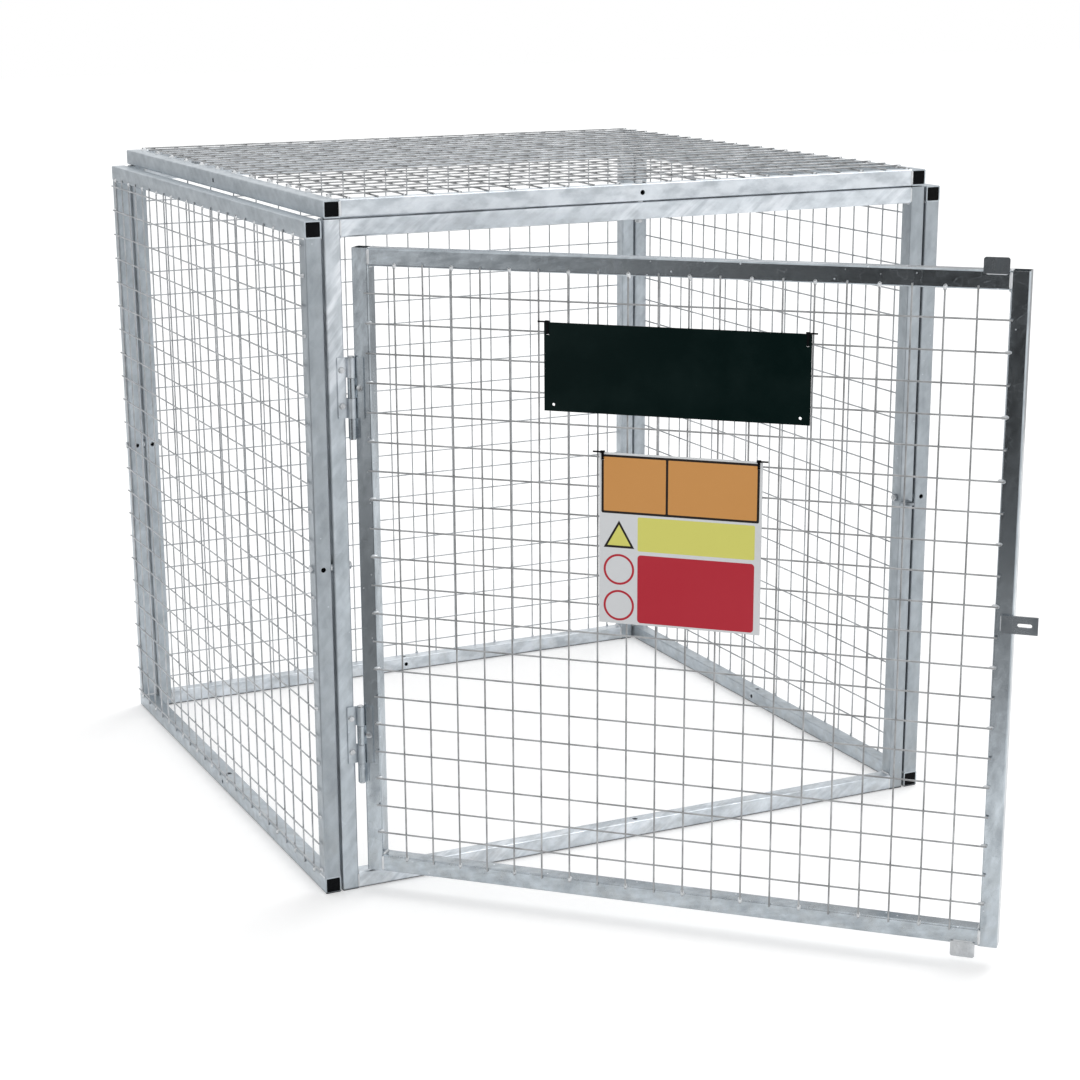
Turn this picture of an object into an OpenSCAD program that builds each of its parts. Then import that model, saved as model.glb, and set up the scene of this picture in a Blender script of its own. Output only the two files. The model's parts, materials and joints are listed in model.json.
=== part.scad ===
// Collapsible cage for standing gas cylinders: five bolted mesh panels in square tube and one hinged mesh door.
// Millimetres. X runs to the right, Y to the back, Z up; the origin is on the floor under the front sill's hole.
// The cage has no floor panel: the four bottom rails stand on the ground and can be bolted down.

/* [Cage] */
// Width over the front and back frames, without the side panels
cage_width = 1200; // [1000:10:1400]
// Depth over the front and back frames
cage_depth = 1200; // [1000:10:1400]
// Height of the front and back frames
frame_height = 1200; // [1150:10:1400]
// Gap between each side panel and the frames, filled by distance washers
side_gap = 4; // [3:0.5:8]
// Gap between the roof panel and the frames
roof_gap = 2; // [1:0.5:5]
// Height of the horizontal bolts at the four corners
link_height = 600; // [450:5:750]

/* [Cage tube] */
// Side of the square cage tube
tube = 30; // [28:1:34]
// Wall of the cage tube
tube_wall = 2.5; // [1.5:0.1:3]
// Outer corner radius of the cage tube
tube_corner = 3; // [1:0.5:3.5]

/* [Door] */
// Side of the square door tube
door_tube = 30; // [28:1:31]
// Wall of the door tube
door_wall = 2; // [1.5:0.1:3]
// Outer corner radius of the door tube
door_corner = 3; // [1:0.5:3.5]
// Gap between the left upright and the closed door
hinge_gap = 11.5; // [11:0.5:14]
// Gap between the closed door and the right upright
lock_gap = 7.5; // [6:0.5:10]
// Gap under the door
foot_gap = 6; // [3:0.5:10]
// Gap over the door
head_gap = 17.5; // [15:0.5:20]
// How far the door stands open at rest, in degrees
door_open = 43.8; // [0:0.1:170]
// How far the door's outer face stands in front of the frame, so its tabs clear
door_proud = 0.5; // [0.4:0.1:1]

/* [Mesh] */
// Pitch of the welded wire mesh
mesh_pitch = 50.8; // [40:0.1:60]
// Wire diameter
wire_d = 3; // [2:0.1:4]
// Air between the wires and what they are welded to
wire_air = 0.05; // [0.05:0.01:0.2]
// Least distance from a panel's tube to its first wire
panel_edge = 8; // [2:0.5:10]
// Right panel: least distance from its rails to its first level wire
right_edge = 25; // [13:0.5:35]
// Least distance from a door tube to its first wire
door_edge = 40; // [30:0.5:50]
// How far the upright wires lap onto the rails
lap_up = 6; // [4:0.5:12]
// How far the level wires lap onto the uprights
lap_across = 20; // [8:0.5:22]
// How far the door's wires lap onto its frame
door_lap = 6; // [4:0.5:6.5]
// Left panel: shift of its upright wires to the back
left_shift_back = 13.8; // [-25:0.1:25]
// Right panel: shift of its upright wires to the back
right_shift_back = -3.2; // [-25:0.1:25]
// Right panel: shift of its level wires upwards
right_shift_up = 4.2; // [0:0.1:15]
// Back panel: shift of its upright wires to the right
back_shift_right = -11.8; // [-20:0.1:20]
// Back panel: shift of its level wires upwards
back_shift_up = 14.8; // [0:0.1:25]
// Roof: shift of its lengthwise wires to the right
roof_shift_right = 10.5; // [8.5:0.1:14]
// Roof: shift of its crosswise wires to the back
roof_shift_back = 7.5; // [-10:0.1:10]
// Door: shift of its upright wires away from the hinges
door_shift_across = -0.7; // [-10:0.1:10]
// Door: shift of its level wires upwards
door_shift_up = 0.5; // [-5:0.1:5]

/* [Bolts] */
// Diameter of the panel bolts
bolt_d = 8; // [6:0.5:8.5]
// Diameter of the bolt holes in the cage tubes
hole_d = 9; // [8.6:0.1:9.5]
// Diameter of the upright floor holes in the bottom rails
floor_hole_d = 10; // [9.8:0.1:12]
// Width across flats of the bolt heads and nuts
bolt_flats = 13; // [11:0.5:14]
// Height of the bolt heads
head_height = 5.3; // [4:0.1:7]
// Height of the nuts
nut_height = 6.5; // [4:0.1:7]
// Diameter of the washers between the panels
washer_d = 20; // [14:0.5:26]

/* [Hinges] */
// Radius of the hinge barrels
barrel_r = 7; // [6.5:0.1:7.5]
// Diameter of the hinge pins
pin_d = 8; // [6:0.1:9]
// Radial clearance of the door knuckles on the pins
pin_fit = 0.05; // [0.03:0.01:0.09]
// Height of one knuckle
knuckle = 35; // [30:0.5:36]
// Gap between two knuckles
knuckle_gap = 0.5; // [0.3:0.1:1]
// Distance of the pin axis from the inner face of the left upright
pin_inset = 9; // [8:0.1:9.2]
// Air between the barrels and the upright
barrel_air = 0.5; // [0.4:0.1:0.7]
// Height of the top of the upper hinge
upper_hinge_top = 968; // [850:1:1050]
// Height of the top of the lower hinge
lower_hinge_top = 345.6; // [250:0.1:400]
// Thickness of the hinge leaves
leaf_thick = 3; // [2:0.1:3.2]
// Width of the frame leaf on the upright
frame_leaf = 15; // [14.5:0.1:18]
// Width of the door leaf on the stile
door_leaf = 18; // [16:0.1:18.5]
// Diameter of the hinge bolts
hinge_bolt_d = 6; // [4:0.1:6]
// Diameter of the hinge bolt holes
hinge_hole_d = 6.5; // [6.1:0.1:7]
// Width across flats of the hinge bolt heads
hinge_bolt_flats = 10; // [8:0.1:10.5]
// Height of the hinge bolt heads
hinge_head = 4; // [2:0.1:4]
// Distance between the two bolts of a frame leaf
hinge_bolt_pitch = 62; // [40:1:80]
// Length of the hinge bolt shanks
hinge_bolt_length = 14; // [8:0.5:18]

/* [Lock] */
// Height of the hasp and the padlock tongue
lock_height = 593; // [450:1:750]
// Length of the hasp plate beyond the door
hasp_reach = 39; // [37:0.5:47]
// Length of the hasp plate on the door
hasp_lap = 19; // [15:0.5:22]
// Height of the hasp plate
hasp_height = 29; // [20:0.5:40]
// Thickness of the hasp plate
hasp_thick = 4; // [3:0.1:5]
// Length of the hasp's slot
slot_length = 23.5; // [22:0.1:26]
// Height of the hasp's slot
slot_height = 6.5; // [6:0.1:8]
// Middle of the slot from the door's edge
slot_centre = 18.2; // [17.5:0.1:20]
// Width of the padlock tongue
tongue_width = 19; // [16:0.1:19.5]
// Thickness of the padlock tongue
tongue_thick = 4.8; // [3:0.1:4.8]
// How far the padlock tongue stands out
tongue_reach = 25; // [22:0.5:35]
// Diameter of the padlock hole
padlock_d = 9; // [7:0.1:11]

/* [Stop tabs] */
// Width of the two stop tabs
tab_width = 40; // [25:1:60]
// Thickness of the two stop tabs
tab_thick = 3; // [2:0.1:5]
// How far the tabs lap onto the door
tab_lap = 5; // [4:0.5:8]
// How far the top tab stands over the door
tab_up = 20.5; // [18:0.5:25]
// How far the bottom tab stands under the door
tab_down = 21.5; // [15:0.5:26]
// Distance of the top tab from the door's free edge
tab_top_inset = 32; // [15:1:60]
// Distance of the bottom tab from the door's free edge
tab_bottom_inset = 36; // [15:1:60]

/* [Boards] */
// Width of the black plate
plate_width = 445; // [300:5:560]
// Height of the black plate
plate_height = 147; // [120:1:180]
// Distance of the black plate from the hinge-side edge of the door
plate_from_hinge = 342.5; // [250:0.5:380]
// Distance of the black plate's top edge from the door's top
plate_drop = 109.5; // [99:0.5:129]
// Thickness of the black plate
plate_thick = 2; // [1:0.1:4]
// Diameter of the corner holes in the black plate
plate_hole_d = 5; // [3:0.1:7]
// Distance of the corner holes from the black plate's side edges
plate_hole_side = 16; // [10:0.5:30]
// Distance of the corner holes from the black plate's top and bottom edges
plate_hole_in = 11; // [8:0.5:16]
// Width of the hazard board
board_width = 275; // [200:5:400]
// Height of the hazard board
board_height = 291; // [200:1:400]
// Distance of the hazard board from the hinge-side edge of the door
board_from_hinge = 437.5; // [380:0.5:500]
// Distance of the hazard board's top edge from the door's top
board_drop = 320.5; // [309:0.5:339]
// Thickness of the hazard board
board_thick = 3; // [1:0.1:5]
// Air between the boards and the wires
board_air = 0.1; // [0.05:0.01:0.5]
// Width of the cable ties
tie_width = 4; // [2.5:0.1:5]
// Thickness of the cable ties
tie_thick = 1.2; // [0.8:0.1:1.4]
// Height of the slots the cable ties pass through
tie_slot = 3; // [2.5:0.1:4]
// Distance of the cable ties from the side edges of the boards
tie_inset = 4; // [2:0.5:8]
// Length of the cable ties' tails
tie_tail = 14; // [6:0.5:25]

/* [End plugs] */
// Depth of the end plugs in the tubes
plug_depth = 12; // [6:0.5:25]
// How far the plugs stand out of the tubes
plug_proud = 0.6; // [0.2:0.1:3]
// Air around the plugs
plug_air = 0.05; // [0.05:0.01:0.2]

/* [Hidden] */
steel = [0.72, 0.75, 0.77];
black = [0.09, 0.1, 0.1];
half = tube / 2;
frame_x = cage_width / 2 - half;
side_x = cage_width / 2 + side_gap + half;
back_y = cage_depth - tube;
roof_z = frame_height + roof_gap + half;
top_z = frame_height - half;
mid_y = back_y / 2;
inner_x = cage_width / 2 - tube;
door_width = 2 * inner_x - hinge_gap - lock_gap;
door_height = frame_height - 2 * tube - foot_gap - head_gap;
door_x = -inner_x + hinge_gap;
door_z = tube + foot_gap;
door_face = -half - door_proud;
free_x = door_x + door_width;
pin_x = -inner_x + pin_inset;
pin_y = -half - barrel_air - barrel_r;
pin_r = pin_d / 2;
leaf_height = 3 * knuckle;
hinge_z = [upper_hinge_top, lower_hinge_top];
frame_bolt_x = pin_x - barrel_r - 4 - hinge_bolt_flats / 2;
door_bolt_x = door_x + door_leaf - hinge_bolt_flats / 2 - 2;
net_out = 2 * (wire_air + wire_d);
board_out = net_out + board_air;
staple_x = free_x + slot_centre;
plate_top = door_height - plate_drop;
board_top = door_height - board_drop;

// A square tube with rounded corners standing on the floor, centred on its axis
module square_tube(side, wall, corner, length) {
  difference() {
    union() {
      translate([-side / 2 + corner, -side / 2, 0])
        cube([side - 2 * corner, side, length]);
      translate([-side / 2, -side / 2 + corner, 0])
        cube([side, side - 2 * corner, length]);
      for (sx = [-1, 1])
        for (sy = [-1, 1])
          translate([sx * (side / 2 - corner), sy * (side / 2 - corner), 0])
            cylinder(r = corner, h = length, $fn = 32);
    }
    translate([-side / 2 + wall, -side / 2 + wall, -1])
      cube([side - 2 * wall, side - 2 * wall, length + 2]);
  }
}

// Cage tubes along each axis, from a start point
module tube_up(x, y, z0, z1) {
  translate([x, y, z0])
    square_tube(tube, tube_wall, tube_corner, z1 - z0);
}

module tube_across(x0, x1, y, z) {
  translate([x0, y, z])
    rotate([0, 90, 0])
      square_tube(tube, tube_wall, tube_corner, x1 - x0);
}

module tube_back(x, y0, y1, z) {
  translate([x, y0, z])
    rotate([-90, 0, 0])
      square_tube(tube, tube_wall, tube_corner, y1 - y0);
}

// Round cutters and rods along each axis, centred on a point
module rod_x(x, y, z, d, length) {
  translate([x - length / 2, y, z])
    rotate([0, 90, 0])
      cylinder(d = d, h = length, $fn = 32);
}

module rod_y(x, y, z, d, length) {
  translate([x, y + length / 2, z])
    rotate([90, 0, 0])
      cylinder(d = d, h = length, $fn = 32);
}

module rod_z(x, y, z, d, length) {
  translate([x, y, z - length / 2])
    cylinder(d = d, h = length, $fn = 32);
}

// A hexagon standing on the floor with two flats facing left and right
module hexagon(flats, height) {
  rotate([0, 0, 30])
    cylinder(d = flats / cos(30), h = height, $fn = 6);
}

// Turns what is drawn on the closed door to where the door stands
module on_door() {
  translate([pin_x, pin_y, 0])
    rotate([0, 0, -door_open])
      translate([-pin_x, -pin_y, 0])
        children();
}

// How many wires fit an opening
function wire_count(opening, edge) = floor((opening - 2 * edge) / mesh_pitch + 0.001) + 1;

// Where wire number i lies from the middle of the opening
function wire_at(i, count, shift) = shift + (i - (count - 1) / 2) * mesh_pitch;

// A net of two layers of straight wires over an opening of a by b, standing out along Z
module wire_net(a, b, edge_a, edge_b, lap_a, lap_b, shift_a, shift_b) {
  count_a = wire_count(a, edge_a);
  count_b = wire_count(b, edge_b);
  for (i = [0 : count_a - 1])
    translate([wire_at(i, count_a, shift_a), -b / 2 - lap_b, wire_air + wire_d / 2])
      rotate([-90, 0, 0])
        cylinder(d = wire_d, h = b + 2 * lap_b, $fn = 16);
  for (i = [0 : count_b - 1])
    translate([-a / 2 - lap_a, wire_at(i, count_b, shift_b), 2 * wire_air + 1.5 * wire_d])
      rotate([0, 90, 0])
        cylinder(d = wire_d, h = a + 2 * lap_a, $fn = 16);
}

module front_upright_left() {
  color(steel)
    difference() {
      tube_up(-frame_x, 0, 0, frame_height);
      rod_x(-frame_x, 0, link_height, hole_d, tube + 2);
      for (z = hinge_z)
        for (s = [-1, 1])
          rod_y(frame_bolt_x, -half, z - leaf_height / 2 + s * hinge_bolt_pitch / 2, hinge_hole_d, 2 * tube_wall + 2);
    }
}

module front_upright_right() {
  color(steel)
    difference() {
      tube_up(frame_x, 0, 0, frame_height);
      rod_x(frame_x, 0, link_height, hole_d, tube + 2);
    }
}

module back_upright(x) {
  color(steel)
    difference() {
      tube_up(x, back_y, 0, frame_height);
      rod_x(x, back_y, link_height, hole_d, tube + 2);
      rod_y(x, back_y, link_height, hole_d, tube + 2);
    }
}

module back_upright_left() {
  back_upright(-frame_x);
}

module back_upright_right() {
  back_upright(frame_x);
}

module top_rail(y) {
  color(steel)
    difference() {
      tube_across(-inner_x, inner_x, y, top_z);
      rod_z(0, y, top_z, hole_d, tube + 2);
    }
}

module front_top_rail() {
  top_rail(0);
}

module back_top_rail() {
  top_rail(back_y);
}

module front_bottom_rail() {
  color(steel)
    difference() {
      tube_across(-inner_x, inner_x, 0, half);
      rod_z(0, 0, half, floor_hole_d, tube + 2);
    }
}

module back_bottom_rail() {
  color(steel)
    difference() {
      tube_across(-inner_x, inner_x, back_y, half);
      rod_z(0, back_y, half, floor_hole_d, tube + 2);
      rod_y(0, back_y, half, hole_d, tube + 2);
    }
}

module side_top_rail(x) {
  color(steel)
    tube_back(x, -half, back_y + half, top_z);
}

module side_bottom_rail(x) {
  color(steel)
    difference() {
      tube_back(x, -half, back_y + half, half);
      rod_z(x, mid_y, half, floor_hole_d, tube + 2);
      rod_x(x, mid_y, half, hole_d, tube + 2);
    }
}

module side_upright(x, y) {
  color(steel)
    difference() {
      tube_up(x, y, tube, frame_height - tube);
      rod_x(x, y, link_height, hole_d, tube + 2);
      rod_y(x, y, link_height, hole_d, tube + 2);
    }
}

module left_top_rail() {
  side_top_rail(-side_x);
}

module left_bottom_rail() {
  side_bottom_rail(-side_x);
}

module left_front_upright() {
  side_upright(-side_x, 0);
}

module left_rear_upright() {
  side_upright(-side_x, back_y);
}

module right_top_rail() {
  side_top_rail(side_x);
}

module right_bottom_rail() {
  side_bottom_rail(side_x);
}

module right_front_upright() {
  side_upright(side_x, 0);
}

module right_rear_upright() {
  side_upright(side_x, back_y);
}

module roof_side_rail(x) {
  color(steel)
    difference() {
      tube_back(x, -half, back_y + half, roof_z);
      rod_x(x, mid_y, roof_z, hole_d, tube + 2);
    }
}

module roof_left_rail() {
  roof_side_rail(-frame_x);
}

module roof_right_rail() {
  roof_side_rail(frame_x);
}

module roof_end_rail(y) {
  color(steel)
    difference() {
      tube_across(-inner_x, inner_x, y, roof_z);
      rod_z(0, y, roof_z, hole_d, tube + 2);
      rod_y(0, y, roof_z, hole_d, tube + 2);
    }
}

module roof_front_rail() {
  roof_end_rail(0);
}

module roof_rear_rail() {
  roof_end_rail(back_y);
}

// The nets leave a round clear place at each bolt head
module left_mesh() {
  color(steel)
    difference() {
      translate([-side_x - half, mid_y, frame_height / 2])
        rotate([0, 0, -90])
          rotate([90, 0, 0])
            wire_net(back_y - tube, frame_height - 2 * tube, panel_edge, panel_edge, lap_across, lap_up,
                     -left_shift_back, 0);
      for (y = [0, back_y])
        rod_x(-side_x - half - 5, y, link_height, bolt_flats + 5, 16);
    }
}

module right_mesh() {
  color(steel)
    difference() {
      translate([side_x + half, mid_y, frame_height / 2])
        rotate([0, 0, 90])
          rotate([90, 0, 0])
            wire_net(back_y - tube, frame_height - 2 * tube, panel_edge, right_edge, lap_across, lap_up,
                     right_shift_back, right_shift_up);
      for (y = [0, back_y])
        rod_x(side_x + half + 5, y, link_height, bolt_flats + 5, 16);
    }
}

module back_mesh() {
  color(steel)
    translate([0, back_y + half, frame_height / 2])
      rotate([0, 0, 180])
        rotate([90, 0, 0])
          wire_net(2 * inner_x, frame_height - 2 * tube, panel_edge, panel_edge, lap_across, lap_up,
                   -back_shift_right, back_shift_up);
}

module roof_mesh() {
  color(steel)
    difference() {
      translate([0, mid_y, roof_z + half])
        wire_net(2 * inner_x, back_y - tube, panel_edge, panel_edge, lap_up, lap_across,
                 roof_shift_right, roof_shift_back);
      for (y = [0, back_y])
        rod_z(0, y, roof_z + half + 5, bolt_flats + 3, 16);
    }
}

// A square plug in the front end (dir -1) or the rear end (dir 1) of a rail
module end_plug(x, z, dir) {
  inside = tube - 2 * tube_wall - 2 * plug_air;
  y_end = dir < 0 ? -half - plug_proud : back_y + half - plug_depth;
  translate([x - inside / 2, y_end, z - inside / 2])
    cube([inside, plug_depth + plug_proud, inside]);
}

module side_plugs(x) {
  color(black)
    for (z = [half, top_z])
      for (dir = [-1, 1])
        end_plug(x, z, dir);
}

module left_end_plugs() {
  side_plugs(-side_x);
}

module right_end_plugs() {
  side_plugs(side_x);
}

module roof_end_plugs() {
  color(black)
    for (x = [-frame_x, frame_x])
      for (dir = [-1, 1])
        end_plug(x, roof_z, dir);
}

// Bolts from outside each side panel into the front or back frame
module corner_bolts() {
  color(steel)
    for (s = [-1, 1])
      for (y = [0, back_y])
        translate([s * (side_x + half), y, link_height])
          rotate([0, s * 90, 0])
            union() {
              hexagon(bolt_flats, head_height);
              translate([0, 0, -2 * tube - side_gap - nut_height - 1])
                cylinder(d = bolt_d, h = 2 * tube + side_gap + nut_height + 1.5, $fn = 32);
            }
}

module nut(height) {
  difference() {
    hexagon(bolt_flats, height);
    translate([0, 0, -1])
      cylinder(d = bolt_d + 0.1, h = height + 2, $fn = 32);
  }
}

module corner_nuts() {
  color(steel)
    for (s = [-1, 1])
      for (y = [0, back_y])
        translate([s * inner_x, y, link_height])
          rotate([0, -s * 90, 0])
            nut(nut_height);
}

module spacer(thick) {
  difference() {
    cylinder(d = washer_d, h = thick, $fn = 48);
    translate([0, 0, -1])
      cylinder(d = hole_d, h = thick + 2, $fn = 32);
  }
}

module corner_spacers() {
  color(steel)
    for (s = [-1, 1])
      for (y = [0, back_y])
        translate([s * cage_width / 2, y, link_height])
          rotate([0, s * 90, 0])
            spacer(side_gap);
}

// Upright bolts that hold the roof on the front and back frames
module roof_bolts() {
  color(steel)
    for (y = [0, back_y])
      translate([0, y, roof_z + half])
        union() {
          hexagon(bolt_flats, head_height);
          translate([0, 0, -2 * tube - roof_gap - nut_height - 1])
            cylinder(d = bolt_d, h = 2 * tube + roof_gap + nut_height + 1.5, $fn = 32);
        }
}

module roof_nuts() {
  color(steel)
    for (y = [0, back_y])
      translate([0, y, frame_height - tube - nut_height])
        nut(nut_height);
}

module roof_spacers() {
  color(steel)
    for (y = [0, back_y])
      translate([0, y, frame_height])
        spacer(roof_gap);
}

// One knuckle of a hinge; number 0 is the top one
module knuckle_ring(top, number) {
  translate([pin_x, pin_y, top - (number + 1) * knuckle + knuckle_gap / 2])
    cylinder(r = barrel_r, h = knuckle - knuckle_gap, $fn = 48);
}

module pin_bore(top) {
  translate([pin_x, pin_y, top - 4 * knuckle - 1])
    cylinder(r = pin_r + pin_fit, h = 4 * knuckle + 2, $fn = 48);
}

// Leaf on the upright, with the first and third knuckle
module frame_leaf(top) {
  leaf_x = pin_x - barrel_r - 1 - frame_leaf;
  color(steel)
    difference() {
      union() {
        translate([leaf_x, -half - leaf_thick, top - leaf_height])
          cube([frame_leaf, leaf_thick, leaf_height]);
        for (i = [0, 2]) {
          knuckle_ring(top, i);
          translate([leaf_x + frame_leaf - 1, -half - leaf_thick, top - (i + 1) * knuckle + knuckle_gap / 2])
            cube([barrel_r + 2, leaf_thick, knuckle - knuckle_gap]);
        }
      }
      pin_bore(top);
      for (s = [-1, 1])
        rod_y(frame_bolt_x, -half, top - leaf_height / 2 + s * hinge_bolt_pitch / 2, hinge_hole_d, 2 * leaf_thick + 2);
    }
}

// Leaf on the door, with the second and fourth knuckle
module door_leaf_solid(top) {
  plate_x = pin_x + barrel_r + 1;
  color(steel)
    on_door()
      difference() {
        union() {
          translate([plate_x, door_face - leaf_thick, top - leaf_height])
            cube([door_x + door_leaf - plate_x, leaf_thick, leaf_height]);
          for (i = [1, 3])
            knuckle_ring(top, i);
          translate([pin_x, door_face - leaf_thick, top - 2 * knuckle + knuckle_gap / 2])
            cube([barrel_r + 2, leaf_thick, knuckle - knuckle_gap]);
          translate([pin_x, door_face - leaf_thick, top - 4 * knuckle + knuckle_gap / 2])
            cube([barrel_r + 2, leaf_thick, knuckle - knuckle_gap]);
          translate([plate_x, door_face - leaf_thick, top - 4 * knuckle + knuckle_gap / 2])
            cube([2.5, leaf_thick, knuckle + 1]);
        }
        pin_bore(top);
        rod_y(door_bolt_x, door_face, top - leaf_height / 2, hinge_hole_d, 2 * leaf_thick + 2);
      }
}

module hinge_pin(top) {
  color(steel)
    translate([pin_x, pin_y, top - 4 * knuckle + 0.5])
      cylinder(r = pin_r, h = 4 * knuckle - 0.2, $fn = 48);
}

module upper_hinge_frame_leaf() {
  frame_leaf(upper_hinge_top);
}

module upper_hinge_door_leaf() {
  door_leaf_solid(upper_hinge_top);
}

module upper_hinge_pin() {
  hinge_pin(upper_hinge_top);
}

module lower_hinge_frame_leaf() {
  frame_leaf(lower_hinge_top);
}

module lower_hinge_door_leaf() {
  door_leaf_solid(lower_hinge_top);
}

module lower_hinge_pin() {
  hinge_pin(lower_hinge_top);
}

// A small bolt whose head sits on the plane y and whose shank goes to the back
module hinge_bolt(x, y, z) {
  translate([x, y, z])
    rotate([90, 0, 0])
      union() {
        hexagon(hinge_bolt_flats, hinge_head);
        translate([0, 0, -hinge_bolt_length])
          cylinder(d = hinge_bolt_d, h = hinge_bolt_length + 0.5, $fn = 32);
      }
}

module hinge_frame_bolts() {
  color(steel)
    for (z = hinge_z)
      for (s = [-1, 1])
        hinge_bolt(frame_bolt_x, -half - leaf_thick, z - leaf_height / 2 + s * hinge_bolt_pitch / 2);
}

module hinge_door_bolts() {
  color(steel)
    on_door()
      for (z = hinge_z)
        hinge_bolt(door_bolt_x, door_face - leaf_thick, z - leaf_height / 2);
}

// Door tubes: stiles over the full height, rails between them
module door_stile(x) {
  translate([x, door_face + door_tube / 2, door_z])
    square_tube(door_tube, door_wall, door_corner, door_height);
}

module door_hinge_stile() {
  color(steel)
    on_door()
      difference() {
        door_stile(door_x + door_tube / 2);
        for (z = hinge_z)
          rod_y(door_bolt_x, door_face, z - leaf_height / 2, hinge_hole_d, 2 * door_wall + 2);
      }
}

module door_lock_stile() {
  color(steel)
    on_door()
      door_stile(free_x - door_tube / 2);
}

module door_rail(z) {
  color(steel)
    on_door()
      translate([door_x + door_tube, door_face + door_tube / 2, z])
        rotate([0, 90, 0])
          square_tube(door_tube, door_wall, door_corner, door_width - 2 * door_tube);
}

module door_top_rail() {
  door_rail(door_z + door_height - door_tube / 2);
}

module door_bottom_rail() {
  door_rail(door_z + door_tube / 2);
}

module door_mesh() {
  color(steel)
    on_door()
      translate([door_x + door_width / 2, door_face, door_z + door_height / 2])
        rotate([90, 0, 0])
          wire_net(door_width - 2 * door_tube, door_height - 2 * door_tube, door_edge, door_edge, door_lap, door_lap,
                   door_shift_across, door_shift_up);
}

// Flat plate with a level slot that drops over the padlock tongue
module hasp_plate() {
  color(steel)
    on_door()
      difference() {
        translate([free_x - hasp_lap, door_face - hasp_thick, lock_height - hasp_height / 2])
          cube([hasp_lap + hasp_reach, hasp_thick, hasp_height]);
        translate([staple_x - slot_length / 2 + slot_height / 2, door_face - hasp_thick - 1, lock_height - slot_height / 2])
          cube([slot_length - slot_height, hasp_thick + 2, slot_height]);
        for (s = [-1, 1])
          rod_y(staple_x + s * (slot_length - slot_height) / 2, door_face - hasp_thick / 2, lock_height,
                slot_height, hasp_thick + 2);
      }
}

module lock_staple() {
  color(steel)
    difference() {
      union() {
        translate([staple_x - tongue_width / 2, -half - tongue_reach + tongue_width / 2, lock_height - tongue_thick / 2])
          cube([tongue_width, tongue_reach - tongue_width / 2, tongue_thick]);
        translate([staple_x, -half - tongue_reach + tongue_width / 2, lock_height - tongue_thick / 2])
          cylinder(d = tongue_width, h = tongue_thick, $fn = 48);
      }
      rod_z(staple_x, -half - tongue_reach + tongue_width / 2, lock_height, padlock_d, tongue_thick + 2);
    }
}

module door_stop_top() {
  color(steel)
    on_door()
      translate([free_x - tab_top_inset - tab_width, door_face - tab_thick, door_z + door_height - tab_lap])
        cube([tab_width, tab_thick, tab_lap + tab_up]);
}

module door_stop_bottom() {
  color(steel)
    on_door()
      translate([free_x - tab_bottom_inset - tab_width, door_face - tab_thick, door_z - tab_down])
        cube([tab_width, tab_thick, tab_lap + tab_down]);
}

// The cable ties are closed loops round one level wire and the upper edge of a board
function wire_under(top) = door_height / 2 + wire_at(floor((top - 6 - door_height / 2 - wire_at(0,
  wire_count(door_height - 2 * door_tube, door_edge), door_shift_up)) / mesh_pitch),
  wire_count(door_height - 2 * door_tube, door_edge), door_shift_up);

// A cable tie stands by the side of its board, and steps inwards where an upright wire is in its way
function tie_left(x0, width, side) =
  let (wanted = x0 + (side == 0 ? tie_inset : width - tie_inset - tie_width),
       count = wire_count(door_width - 2 * door_tube, door_edge),
       middle = wanted + tie_width / 2 - door_x - door_width / 2,
       nearest = round((middle - door_shift_across) / mesh_pitch + (count - 1) / 2),
       wire = wire_at(nearest, count, door_shift_across),
       room = (tie_width + wire_d) / 2 + 0.5)
  abs(middle - wire) < room ? wanted - middle + wire + (side == 0 ? room : -room) : wanted;

module tie_slots(x0, width, top) {
  for (side = [0, 1])
    translate([tie_left(x0, width, side) - 0.5, door_face - board_out - 10,
               door_z + wire_under(top) - wire_d / 2 - tie_thick - 1.5])
      cube([tie_width + 1, 12, tie_slot]);
}

module tie_loops(x0, width, top, thick) {
  low = door_z + wire_under(top) - wire_d / 2 - tie_thick - 0.6;
  high = door_z + top + 0.4;
  front = door_face - board_out - thick - 0.3;
  rear = door_face - wire_air - wire_d + 0.3;
  for (side = [0, 1]) {
    x = tie_left(x0, width, side);
    difference() {
      translate([x, front - tie_thick, low])
        cube([tie_width, rear - front + 2 * tie_thick, high - low + tie_thick]);
      translate([x - 1, front, low + tie_thick])
        cube([tie_width + 2, rear - front, high - low - tie_thick]);
    }
    translate([x - 1, front - tie_thick - 3, high - 1])
      cube([tie_width + 2, 3.5, 4]);
    translate([side == 0 ? x - tie_tail : x + tie_width, front - tie_thick - 2.2, high - 0.4])
      cube([tie_tail, tie_thick, 2.6]);
  }
}

module black_plate() {
  color(black)
    on_door()
      difference() {
        translate([door_x + plate_from_hinge, door_face - board_out - plate_thick, door_z + plate_top - plate_height])
          cube([plate_width, plate_thick, plate_height]);
        tie_slots(door_x + plate_from_hinge, plate_width, plate_top);
        for (x = [plate_hole_side, plate_width - plate_hole_side])
          rod_y(door_x + plate_from_hinge + x, door_face - board_out, door_z + plate_top - plate_height + plate_hole_in,
                plate_hole_d, 2 * plate_thick + 4);
      }
}

module hazard_board() {
  color([0.95, 0.95, 0.95])
    on_door()
      difference() {
        translate([door_x + board_from_hinge, door_face - board_out - board_thick, door_z + board_top - board_height])
          cube([board_width, board_thick, board_height]);
        tie_slots(door_x + board_from_hinge, board_width, board_top);
      }
}

module sign_ties() {
  color(black)
    on_door() {
      tie_loops(door_x + plate_from_hinge, plate_width, plate_top, plate_thick);
      tie_loops(door_x + board_from_hinge, board_width, board_top, board_thick);
    }
}

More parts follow.
